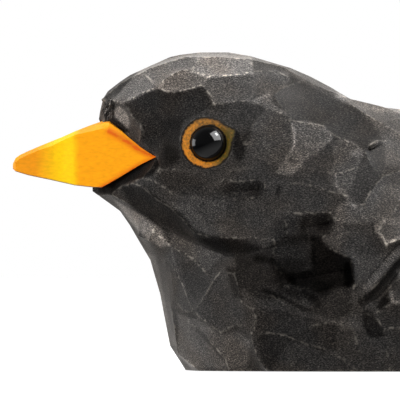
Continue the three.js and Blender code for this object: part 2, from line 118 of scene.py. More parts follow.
@dataclass(frozen=True)
class KnifeLine:
    """A ridge or crease that the knife leaves on the side of the bird.

    Args:
        name: What a carver would call it.
        points: Places in millimetres, x and z as seen from the left.
        height: How far it stands above the smooth form, below it where negative, at each point or at all.
        fine: Left out on the plainer right side.
        seen: How the places are given.
    """

    name: str
    points: tuple[Place, ...]
    height: float | tuple[float, ...] = 0.2
    fine: bool = False
    seen: Seen = Seen.SIDE


@dataclass(frozen=True)
class StainAndLightMark:
    """A place painted darker or paler: mostly painted light on facets that face the lamps and painted shade
    in hollows, cuts and under ledges, and in a few places the stain lying thicker or worn thin.

    Args:
        name: What it is.
        points: Its outline, or the middle of a stroke, x and z in millimetres.
        tone: How much darker, below 0, or paler it is, in halvings or doublings.
        soft: Half the width over which it fades, in millimetres.
        width: Half the width of a stroke, or 0 for an area.
    """

    name: str
    points: tuple[Place, ...]
    tone: float
    soft: float = 0.5
    width: float = 0.0


OUTLINE_LINES = (
    KnifeLine("crest", spots(-30.4, 44.8, -30.75, 45.6, -30.55, 46.9, -30.0, 49.3, -29.1, 50.7,
        -26.9, 52.4, -25.1, 53.6, -21.4, 55.3, -17.8, 56.9, -16.0, 57.3, -12.4, 57.75, -7.3, 57.75,
        -3.3, 57.1, 0.4, 56.0, 4.0, 54.95, 7.6, 53.4, 11.3, 51.45, 14.9, 49.3, 16.7, 48.5, 20.4, 47.8,
        24.0, 47.4), seen=Seen.MIDDLE),
    KnifeLine("keel", spots(-31.2, 33.9, -31.9, 33.4, -31.9, 32.5, -30.5, 31.5, -29.1, 30.5, -26.9, 28.9,
        -25.1, 26.3, -23.3, 23.2, -21.4, 20.0, -19.6, 13.8, -17.8, 4.4, -16.0, 1.6, -15.0, 0.0),
        seen=Seen.MIDDLE),
    KnifeLine("crown shoulder", spots(-30.0, 1.6, -26.4, 3.2, -21.0, 4.6, -15.2, 4.9, -9.4, 5.3,
        -3.2, 5.0, 2.6, 4.4, 8.4, 4.3, 14.6, 4.6, 20.6, 4.9, 25.6, 5.6), 0.3, seen=Seen.TOP),
    KnifeLine("bed over the bill", spots(-30.4, 44.8, -28.9, 45.7, -27.7, 44.9, -26.4, 44.0, -24.9, 42.7,
        -23.1, 40.9, -21.3, 39.6, -20.2, 38.7), (-3.6, -3.2, -1.2, -0.8, -0.4, -0.25, -0.2, -0.1),
        seen=Seen.BILL),
    KnifeLine("bed under the bill", spots(-20.2, 38.7, -21.4, 38.2, -23.0, 37.3, -25.9, 35.5, -28.8, 33.9,
        -30.6, 33.4, -31.2, 33.9), (-0.1, -0.7, -1.2, -1.6, -2.0, -3.2, -5.1), seen=Seen.BILL),
)

HEAD_LINES = (
    KnifeLine("chin edge", spots(-30.6, 32.0, -28.6, 31.9, -26.6, 33.3, -24.6, 34.2, -22.6, 34.9,
        -21.0, 36.8, -20.0, 38.2), 0.15),
    KnifeLine("crown edge", spots(-28.4, 48.9, -26.2, 48.3, -22.8, 50.0, -20.0, 51.2, -18.6, 50.5,
        -17.0, 50.2, -15.2, 50.5, -11.9, 51.5), 0.45),
    KnifeLine("brow rear", spots(-11.9, 51.5, -10.4, 49.6, -9.8, 48.1), 0.3),
    KnifeLine("temple edge", spots(-9.8, 48.1, -7.5, 48.4, -4.9, 48.7, -2.6, 48.5, -0.2, 47.3), 0.3),
    KnifeLine("crown facet", spots(-20.0, 51.2, -18.8, 52.4, -17.4, 53.4, -15.6, 54.2, -14.0, 54.2,
        -10.8, 53.2, -6.5, 53.3, -2.5, 54.0, 1.5, 54.0), 0.35),
    KnifeLine("crown side end", spots(-10.8, 53.2, -11.9, 51.5), 0.3),
    KnifeLine("crown cap", spots(-14.0, 54.2, -12.6, 56.0, -11.4, 57.6), 0.2),
    KnifeLine("crown front", spots(-20.0, 51.2, -21.8, 53.2, -23.6, 54.3), 0.1, fine=True),
    KnifeLine("crown rear", spots(-2.5, 54.0, -2.9, 55.3, -3.6, 57.1), 0.2),
    KnifeLine("temple fold", spots(-4.9, 48.7, -3.4, 51.5, -2.5, 54.0), 0.15, fine=True),
    KnifeLine("nape crown", spots(1.5, 54.0, 3.4, 53.2, 5.0, 54.6), 0.15),
    KnifeLine("splinter upper", spots(-4.0, 48.8, -2.2, 49.7, -0.5, 50.2, 0.9, 49.9, 1.6, 48.7, 2.6, 47.5,
        3.9, 46.4), 0.2, fine=True),
    KnifeLine("splinter lower", spots(-2.6, 48.5, -0.2, 47.3, 1.6, 47.0, 2.2, 46.5, 3.9, 46.4), 0.35),
    KnifeLine("temple rear", spots(0.9, 49.9, 3.2, 51.4, 5.5, 52.2, 8.2, 52.8), 0.15, fine=True),
    KnifeLine("ear front", spots(-0.2, 47.3, -1.8, 45.8, -3.0, 44.1, -3.2, 43.0, -4.3, 41.2), 0.2),
    KnifeLine("ear rear", spots(3.9, 46.4, 3.7, 45.2, 4.4, 43.6, 4.4, 41.4, 3.9, 39.8, 3.4, 38.4,
        2.1, 37.8, 1.5, 35.8), 0.45),
    KnifeLine("ear foot", spots(1.5, 35.8, 0.4, 35.3, -0.8, 34.9), 0.25),
    KnifeLine("under the ear", spots(-0.8, 34.9, -1.7, 36.4, -3.9, 36.7, -6.4, 36.2), 0.15, fine=True),
    KnifeLine("neck chip", spots(3.7, 45.2, 6.8, 44.7, 9.9, 44.2, 11.7, 42.5, 10.9, 41.1, 8.0, 40.8,
        4.4, 41.4), 0.25),
    KnifeLine("small chip", spots(3.4, 38.4, 5.6, 38.2, 6.4, 36.9, 5.0, 35.9, 3.4, 35.3, 1.5, 35.8), 0.2,
        fine=True),
    KnifeLine("forehead edge", spots(-26.2, 48.3, -25.1, 47.2, -24.4, 45.6, -23.1, 44.6, -22.9, 43.2,
        -23.6, 41.7), 0.2),
    KnifeLine("under the eye", spots(-20.0, 38.2, -19.6, 36.3, -17.0, 36.5, -14.2, 36.1, -12.6, 35.0),
        0.15),
    KnifeLine("lower lid", spots(-12.6, 35.0, -11.6, 34.2, -9.6, 33.8, -8.0, 34.4, -4.6, 34.3,
        -1.3, 34.6), (0.1, -0.2, -0.1, 0.15, 0.25, 0.25)),
    KnifeLine("cheek hollow rim", spots(-4.6, 34.3, -1.3, 34.6, -0.5, 33.5, -0.7, 32.3, -1.9, 31.2), 0.3),
    KnifeLine("cheek hollow floor", spots(-8.4, 32.7, -5.2, 32.6, -3.0, 32.8, -1.7, 33.0), (-0.1, -0.5,
        -0.8, -0.8)),
    KnifeLine("cheek hollow foot", spots(-1.9, 31.2, -5.0, 31.1, -8.5, 30.6, -10.2, 30.2), 0.05),
    KnifeLine("cheek front", spots(-10.2, 30.2, -12.1, 31.3, -15.2, 31.5, -17.2, 31.9), 0.2),
    KnifeLine("cheek upper", spots(-17.2, 31.9, -18.6, 33.2, -20.6, 34.3, -22.6, 34.9), 0.2),
    KnifeLine("jaw upper", spots(-17.2, 31.9, -15.2, 30.6, -13.4, 28.8, -11.4, 26.9, -9.6, 26.3,
        -5.6, 26.4, -2.0, 26.0), 0.15, fine=True),
    KnifeLine("jaw ridge", spots(-26.6, 33.3, -24.2, 34.0, -22.4, 33.3, -20.0, 31.3, -17.4, 29.7,
        -15.5, 27.8, -14.0, 26.1, -13.2, 25.1, -10.4, 24.3, -6.6, 24.0, -2.4, 24.0, 1.0, 23.4), 0.5),
    KnifeLine("jaw crease", spots(-28.3, 31.7, -26.4, 30.6, -24.3, 29.3, -22.2, 28.0, -19.8, 26.0,
        -17.4, 24.9, -15.0, 23.6, -12.6, 22.6, -10.0, 21.8, -7.8, 21.0, -5.2, 21.0, -2.6, 21.7,
        1.4, 22.6), (-0.1, -0.3, -0.5, -0.6, -0.8, -0.9, -1.0, -1.0, -1.0, -0.9, -0.7, -0.3, 0.0)),
)

NECK_LINES = (
    KnifeLine("nape edge", spots(13.8, 48.8, 15.0, 47.9, 17.5, 46.3, 20.3, 44.6, 22.8, 43.2, 26.5, 40.5),
        0.35),
    KnifeLine("mantle edge", spots(20.3, 44.6, 23.6, 45.6, 27.0, 46.3), 0.1, fine=True),
    KnifeLine("splinter", spots(17.2, 40.0, 18.3, 40.6, 19.3, 41.3, 21.2, 41.6), (0.1, 0.4, 0.45, 0.1),
        fine=True),
    KnifeLine("splinter foot", spots(18.3, 40.0, 19.4, 40.6, 21.0, 41.0), -0.15, fine=True),
    KnifeLine("neck upper", spots(11.7, 42.5, 14.2, 41.5, 17.2, 40.0, 18.5, 37.2, 20.6, 35.0), 0.1),
    KnifeLine("neck long", spots(6.4, 36.9, 9.4, 36.0, 12.6, 35.6, 15.6, 36.6, 18.5, 37.2), 0.1),
    KnifeLine("neck ridge", spots(8.3, 33.4, 10.3, 32.6, 12.2, 32.1, 13.9, 31.6, 14.2, 30.4, 15.3, 29.9,
        17.3, 30.1), 0.25),
    KnifeLine("neck front", spots(-0.5, 33.5, 1.4, 32.8, 4.6, 33.9, 8.3, 33.4), 0.1, fine=True),
    KnifeLine("neck rear", spots(17.3, 30.1, 18.1, 32.0, 19.4, 33.6, 20.6, 35.0, 24.0, 36.2), 0.3),
    KnifeLine("hollow rim", spots(2.8, 28.6, 6.6, 28.5, 9.2, 28.5, 11.2, 28.6, 12.0, 27.2, 11.7, 25.9,
        10.9, 24.9, 9.6, 24.1), (0.0, 0.1, 0.2, 0.35, 0.45, 0.45, 0.4, 0.2)),
    KnifeLine("neck hollow floor", spots(3.4, 25.9, 7.0, 26.1, 9.4, 26.6, 10.7, 26.9), (-0.1, -0.6, -1.1,
        -1.2)),
    KnifeLine("neck to shoulder", spots(11.2, 28.6, 12.4, 29.6, 14.2, 30.4), 0.3),
    KnifeLine("throat side", spots(1.4, 22.6, 3.4, 25.0, 2.8, 28.6), 0.1, fine=True),
    KnifeLine("shoulder front", spots(9.6, 24.1, 10.6, 22.4, 12.8, 21.2, 14.8, 20.3, 15.1, 17.6,
        15.5, 15.6, 15.1, 13.2), (0.2, 0.3, 0.4, 0.5, 0.5, 0.4, 0.2)),
    KnifeLine("shoulder hollow", spots(14.0, 26.2, 16.2, 26.7, 18.4, 26.5, 19.0, 25.4, 18.4, 23.9,
        16.6, 22.6, 14.2, 24.7), 0.1, fine=True),
    KnifeLine("shoulder corner", spots(24.0, 30.6, 22.0, 28.2, 20.4, 26.7, 19.8, 25.2, 21.3, 22.9,
        24.2, 24.1, 27.5, 24.6), 0.45),
    KnifeLine("shoulder link", spots(19.0, 25.4, 19.8, 25.2), 0.3),
    KnifeLine("shoulder upper", spots(17.3, 30.1, 18.2, 28.2, 20.4, 26.7), 0.1, fine=True),
    KnifeLine("wing crease", spots(15.4, 14.4, 17.4, 16.4, 19.4, 18.6, 21.2, 20.6, 23.2, 22.6, 26.5, 25.0,
        30.6, 27.4, 35.0, 27.0), (0.0, -0.25, -0.35, -0.35, -0.35, -0.3, -0.2, 0.0)),
    KnifeLine("wing lip", spots(15.1, 11.8, 16.4, 12.8, 17.8, 13.9, 19.4, 15.5, 21.2, 17.7, 22.8, 19.7,
        24.4, 21.5, 27.8, 23.7, 31.3, 25.3, 38.0, 24.0, 42.0, 17.4, 43.6, 7.4, 43.4, -2.0), (0.1, 0.4,
        0.5, 0.55, 0.55, 0.55, 0.5, 0.4, 0.4, 0.4, 0.4, 0.4, 0.4)),
    KnifeLine("wing groove", spots(17.0, 11.8, 18.8, 12.7, 20.4, 14.0, 21.9, 15.8, 23.4, 17.8, 24.8, 19.5,
        27.9, 21.7, 31.3, 23.2, 36.9, 22.0, 40.4, 16.2, 42.0, 7.2, 42.0, -2.0), (-0.1, -0.7, -0.9, -1.0,
        -1.0, -1.0, -0.9, -0.9, -0.9, -0.8, -0.8, -0.8)),
    KnifeLine("wing edge", spots(21.7, 14.9, 23.4, 16.4, 24.9, 17.9, 28.0, 20.2, 31.4, 21.8, 36.2, 20.6,
        39.2, 15.6, 40.6, 7.0, 40.6, -2.0), 0.35),
    KnifeLine("wing corner", spots(21.7, 14.9, 21.7, 13.6, 22.1, 12.2, 24.2, 12.1, 28.0, 13.0), 0.3),
    KnifeLine("wing fold", spots(22.1, 12.2, 20.6, 11.4, 19.2, 10.5), 0.25),
    KnifeLine("wing lower edge", spots(19.2, 10.5, 20.0, 8.7, 20.8, 7.8, 24.0, 7.9, 28.0, 7.2), (0.25,
        0.3, 0.3, 0.2, 0.1)),
    KnifeLine("wing tongue", spots(20.8, 7.8, 20.6, 6.5, 18.4, 6.3, 17.4, 8.2, 17.7, 10.0, 19.2, 10.5),
        (0.3, -0.3, -0.4, -0.5, -0.4, 0.25)),
    KnifeLine("wing heel", spots(20.6, 6.5, 21.4, 3.0, 22.0, 0.0), 0.1, fine=True),
)

BREAST_LINES = (
    KnifeLine("throat band", spots(-20.8, 25.4, -19.2, 24.0, -17.6, 22.7, -15.6, 21.4, -13.6, 20.3,
        -12.2, 19.0, -10.7, 17.2), 0.3),
    KnifeLine("throat front", spots(-23.6, 24.5, -21.6, 23.6, -20.8, 25.4), 0.1, fine=True),
    KnifeLine("throat foot", spots(-20.9, 18.3, -18.6, 19.6, -17.6, 22.7), 0.1),
    KnifeLine("breast upper", spots(-18.0, 20.6, -17.1, 18.8, -16.4, 17.3, -15.6, 16.2, -15.1, 14.9,
        -14.2, 12.4, -13.3, 10.7), 0.25),
    KnifeLine("breast zigzag", spots(-11.3, 13.6, -10.5, 15.1, -9.3, 17.0, -8.2, 18.2), 0.25),
    KnifeLine("breast cross", spots(-10.7, 17.2, -10.1, 15.8), 0.1, fine=True),
    KnifeLine("breast fold", spots(-13.3, 10.7, -11.3, 13.6), 0.1, fine=True),
    KnifeLine("breast notch", spots(-16.4, 17.3, -14.9, 17.8, -12.2, 19.0), 0.05, fine=True),
    KnifeLine("breast edge", spots(-8.2, 18.2, -6.0, 17.4, -5.2, 15.0, -5.0, 13.2, -4.4, 12.1, -2.6, 11.2,
        -2.2, 10.4, -2.3, 8.2, -2.9, 6.6, -2.5, 4.6, -1.8, 2.6, -0.4, 0.6, 0.0, 0.0), 0.4),
    KnifeLine("breast lower", spots(-17.0, 13.0, -15.2, 10.7, -13.3, 10.7, -12.2, 9.7, -10.5, 8.5,
        -8.6, 7.0, -5.6, 8.4, -2.3, 8.2), 0.15),
    KnifeLine("breast crease", spots(-14.4, 8.8, -12.8, 7.4, -11.0, 5.4, -9.4, 3.7, -8.0, 2.1, -7.0, 0.0),
        (0.0, -0.35, -0.4, -0.4, -0.35, -0.2)),
    KnifeLine("breast front", spots(-19.2, 12.4, -17.6, 12.0, -17.0, 13.0, -17.3, 15.6, -18.0, 20.6),
        0.1),
    KnifeLine("breast foot", spots(-17.6, 12.0, -16.8, 7.6, -16.2, 3.0, -15.0, 0.0), 0.2),
    KnifeLine("breast toe", spots(-17.5, 3.4, -16.2, 3.0, -14.0, 1.2, -12.4, 0.0), 0.1),
    KnifeLine("flank arc", spots(-5.2, 15.0, -1.6, 14.2, 1.6, 13.3, 3.4, 12.5, 5.0, 11.4, 6.4, 10.7,
        9.2, 10.6, 12.8, 10.4, 15.1, 13.2), (0.1, 0.0, 0.0, -0.2, -0.3, -0.3, -0.1, 0.1, 0.2)),
    KnifeLine("flank rib", spots(6.4, 10.7, 8.6, 12.2, 9.4, 14.6, 4.0, 15.4), 0.1, fine=True),
    KnifeLine("flank ridge", spots(12.2, 9.0, 13.6, 7.9, 15.4, 7.6, 17.4, 8.2), 0.25),
    KnifeLine("flank rear", spots(12.8, 10.4, 12.2, 9.0, 8.4, 8.4, 3.8, 6.2), 0.15, fine=True),
    KnifeLine("flank heel", spots(15.4, 7.6, 15.8, 5.4, 16.4, 3.8, 18.4, 6.3), 0.15, fine=True),
    KnifeLine("flank low", spots(-2.9, 6.6, 0.6, 7.0, 3.8, 6.2, 6.6, 5.1, 9.4, 4.3, 12.0, 3.1, 13.8, 2.0,
        15.6, 0.6, 16.2, 0.0), 0.25),
    KnifeLine("flank foot", spots(3.8, 6.2, 4.4, 3.0, 4.0, 0.0), 0.1, fine=True),
    KnifeLine("flank hollow floor", spots(3.4, 16.6, 7.0, 16.9, 10.6, 17.8, 13.9, 18.2), (-0.4, -0.9,
        -1.5, -1.6)),
    KnifeLine("hollow front", spots(3.4, 16.6, 1.4, 18.6, 0.2, 20.2, 1.4, 22.6), 0.1, fine=True),
)


# Painted light and shade on the head: the crown, throat, ear and neck marks are painted paler as light
# falling on them, and the marks over and under the bill, under the jaw, in the cheek and behind the eye are
# painted darker as shade; the scraped and torn forehead are the stain's own wear.
HEAD_MARKS = (
    StainAndLightMark("stop cut over the bill", spots(-28.9, 46.0, -27.6, 45.5, -26.2, 44.4, -25.2, 43.4,
        -26.2, 43.2, -28.0, 44.6, -29.0, 45.3), -2.3, 0.25),
    StainAndLightMark("forehead notch", spots(-29.7, 48.6, -28.6, 49.4, -27.9, 48.6, -28.2, 47.4, -28.2, 46.0,
        -29.3, 45.8, -29.9, 46.9), -1.5, 0.3),
    StainAndLightMark("torn forehead", spots(-30.2, 49.6, -28.4, 49.6, -26.9, 48.6, -27.4, 46.8, -29.0, 46.4,
        -30.2, 46.4), 0.2, 0.4),
    StainAndLightMark("scraped forehead", spots(-28.0, 47.2, -27.0, 48.0, -26.0, 47.2, -25.4, 46.2, -25.1, 45.0,
        -25.2, 44.0, -25.8, 43.9, -26.8, 44.9, -27.8, 46.0), 2.1, 0.15),
    StainAndLightMark("forehead", spots(-26.2, 48.3, -22.8, 50.0, -20.0, 51.2, -18.6, 50.5, -15.2, 50.5,
        -11.9, 51.5, -9.8, 48.1, -12.0, 47.0, -15.4, 45.4, -16.2, 42.2, -15.6, 39.2, -17.4, 36.8,
        -19.8, 36.4, -20.2, 39.0, -23.2, 42.0, -22.9, 44.4, -24.6, 46.2), -0.7, 0.2),
    StainAndLightMark("lores", spots(-23.0, 42.8, -20.4, 46.0, -16.4, 46.0, -16.0, 42.6), -0.1, 0.5),
    StainAndLightMark("before the eye", spots(-19.6, 45.4, -15.0, 45.6, -15.9, 43.0, -15.9, 40.0, -15.2, 37.6,
        -18.6, 37.6), -0.6, 0.6),
    StainAndLightMark("gape", spots(-20.2, 38.4, -18.6, 41.0, -16.2, 40.4, -16.4, 37.4, -19.4, 36.6), -0.7, 0.6),
    StainAndLightMark("crown front", spots(-28.4, 48.8, -26.2, 48.2, -22.8, 49.8, -20.0, 51.0, -17.4, 53.3,
        -14.0, 54.1, -13.2, 55.6, -12.9, 57.9, -22.0, 56.0), 1.8, 0.2),
    StainAndLightMark("crown side", spots(-20.0, 51.2, -17.4, 53.4, -14.0, 54.2, -10.8, 53.2, -11.9, 51.5,
        -15.2, 50.5, -18.6, 50.5), 1.8, 0.2),
    StainAndLightMark("crown middle", spots(-11.9, 51.5, -10.8, 53.2, -2.5, 54.0, 3.6, 54.0, 4.2, 52.4, 0.9, 49.9,
        -2.6, 48.9, -7.5, 48.4, -9.8, 48.1), 1.15, 0.2),
    StainAndLightMark("crown top", spots(-14.0, 54.1, -10.8, 53.0, -2.7, 53.7, -2.9, 57.7, -12.9, 58.0,
        -13.2, 55.6), 2.65, 0.25),
    StainAndLightMark("crown rear", spots(-2.9, 57.6, -2.6, 53.8, 3.6, 53.8, 6.6, 52.2, 10.0, 50.2, 14.0, 48.6,
        14.0, 50.4, 8.0, 54.0, 2.0, 56.6), 1.0, 0.4),
    StainAndLightMark("temple", spots(-9.8, 48.1, -4.9, 48.7, -0.6, 47.3, -3.2, 44.2, -6.2, 44.6, -8.0, 45.9),
        -0.15, 0.2),
    StainAndLightMark("temple wear", spots(-3.8, 48.4, -2.6, 49.2, -0.2, 50.2, 0.9, 49.6, 0.8, 48.6, 1.6, 47.8,
        3.9, 46.3, 1.8, 46.5, -0.6, 47.3, -1.0, 48.2), 1.7, 0.2),
    StainAndLightMark("ear", spots(-3.0, 44.1, -0.2, 47.0, 3.9, 46.2, 4.4, 43.6, 4.4, 41.4, 3.4, 38.4, 0.0, 37.2,
        -3.6, 39.0, -4.0, 42.0), 0.6, 0.2),
    StainAndLightMark("ear notch", spots(-4.9, 42.4, -3.0, 43.8, -2.7, 42.8, -4.2, 41.0), -1.0, 0.2),
    StainAndLightMark("ear rim", spots(4.3, 44.7, 4.7, 43.2, 4.7, 41.2, 4.0, 39.4, 3.2, 38.1), 1.8, 0.25, 0.22),
    StainAndLightMark("ear foot", spots(3.4, 38.0, 1.9, 37.6, 1.7, 35.6, 4.0, 35.3, 5.6, 36.2, 6.4, 37.4), 1.6,
        0.25),
    StainAndLightMark("neck facet", spots(4.2, 45.2, 7.0, 45.4, 9.9, 44.4, 11.6, 42.5, 10.9, 41.1, 8.6, 39.2,
        5.8, 37.4, 3.8, 38.6, 4.4, 41.4), 1.35, 0.2),
    StainAndLightMark("neck chip", spots(10.2, 44.0, 11.6, 42.6, 11.2, 41.6), 1.3, 0.3, 0.2),
    StainAndLightMark("hollow behind the eye", spots(-6.2, 43.5, -5.4, 43.0, -4.5, 41.0, -4.1, 39.5, -4.7, 38.4,
        -5.5, 37.7, -6.2, 39.2, -6.5, 41.6), -1.5, 0.2),
    StainAndLightMark("recess under the bill", spots(-31.0, 33.5, -29.6, 33.2, -26.0, 35.4, -21.4, 38.3,
        -20.4, 38.5, -19.8, 37.2, -21.0, 35.5, -24.0, 34.6, -26.6, 33.6, -28.4, 31.9, -30.6, 32.2), -2.1,
        0.3),
    StainAndLightMark("cheek front", spots(-20.0, 36.0, -12.4, 34.8, -11.6, 32.0, -16.0, 31.6, -19.8, 34.0),
        -0.35, 0.3),
    StainAndLightMark("cheek hollow", spots(-9.6, 32.6, -6.2, 34.0, -1.2, 34.2, -0.6, 33.2, -0.9, 32.0,
        -2.0, 31.0, -6.0, 30.7), -0.7, 0.5),
    StainAndLightMark("cheek hollow end", spots(-3.5, 33.8, -1.2, 34.1, -0.5, 33.2, -0.7, 32.2, -1.8, 31.4,
        -3.2, 31.8), -0.5, 0.35),
    StainAndLightMark("cheek nick", spots(1.9, 33.2, 1.7, 31.9), -1.1, 0.3, 0.35),
    StainAndLightMark("cheek low", spots(-20.6, 34.2, -16.0, 31.8, -8.0, 30.8, -7.4, 27.4, -10.6, 26.8,
        -13.0, 28.0, -15.4, 30.2, -17.8, 31.4), 0.5, 0.3),
    StainAndLightMark("jaw", spots(-17.8, 31.2, -14.6, 29.8, -12.6, 27.8, -10.6, 26.6, -7.6, 26.4, -7.8, 24.6,
        -10.4, 24.6, -13.0, 25.3, -14.2, 26.8, -16.0, 28.6, -18.4, 30.4), 0.6, 0.3),
    StainAndLightMark("under the jaw", spots(-26.8, 33.3, -22.6, 33.2, -18.0, 30.0, -15.2, 28.0, -13.6, 25.8,
        -10.6, 24.6, -6.6, 24.0, -4.0, 23.6, -1.0, 22.4, -2.6, 21.5, -5.6, 21.0, -7.8, 21.1, -12.0, 22.9,
        -16.0, 24.8, -19.6, 26.6, -24.6, 29.4), -1.05, 0.35),
    StainAndLightMark("jaw crease", spots(-12.4, 23.9, -9.0, 23.9, -5.6, 23.5, -3.4, 22.8, -1.6, 22.0, -4.6, 21.3,
        -7.8, 21.2, -10.2, 22.2), -1.1, 0.5),
    StainAndLightMark("throat lit", spots(-27.8, 30.8, -24.2, 28.9, -19.6, 25.9, -17.8, 22.6, -19.6, 22.4,
        -22.4, 24.2, -25.4, 27.4), 2.1, 0.35),
)
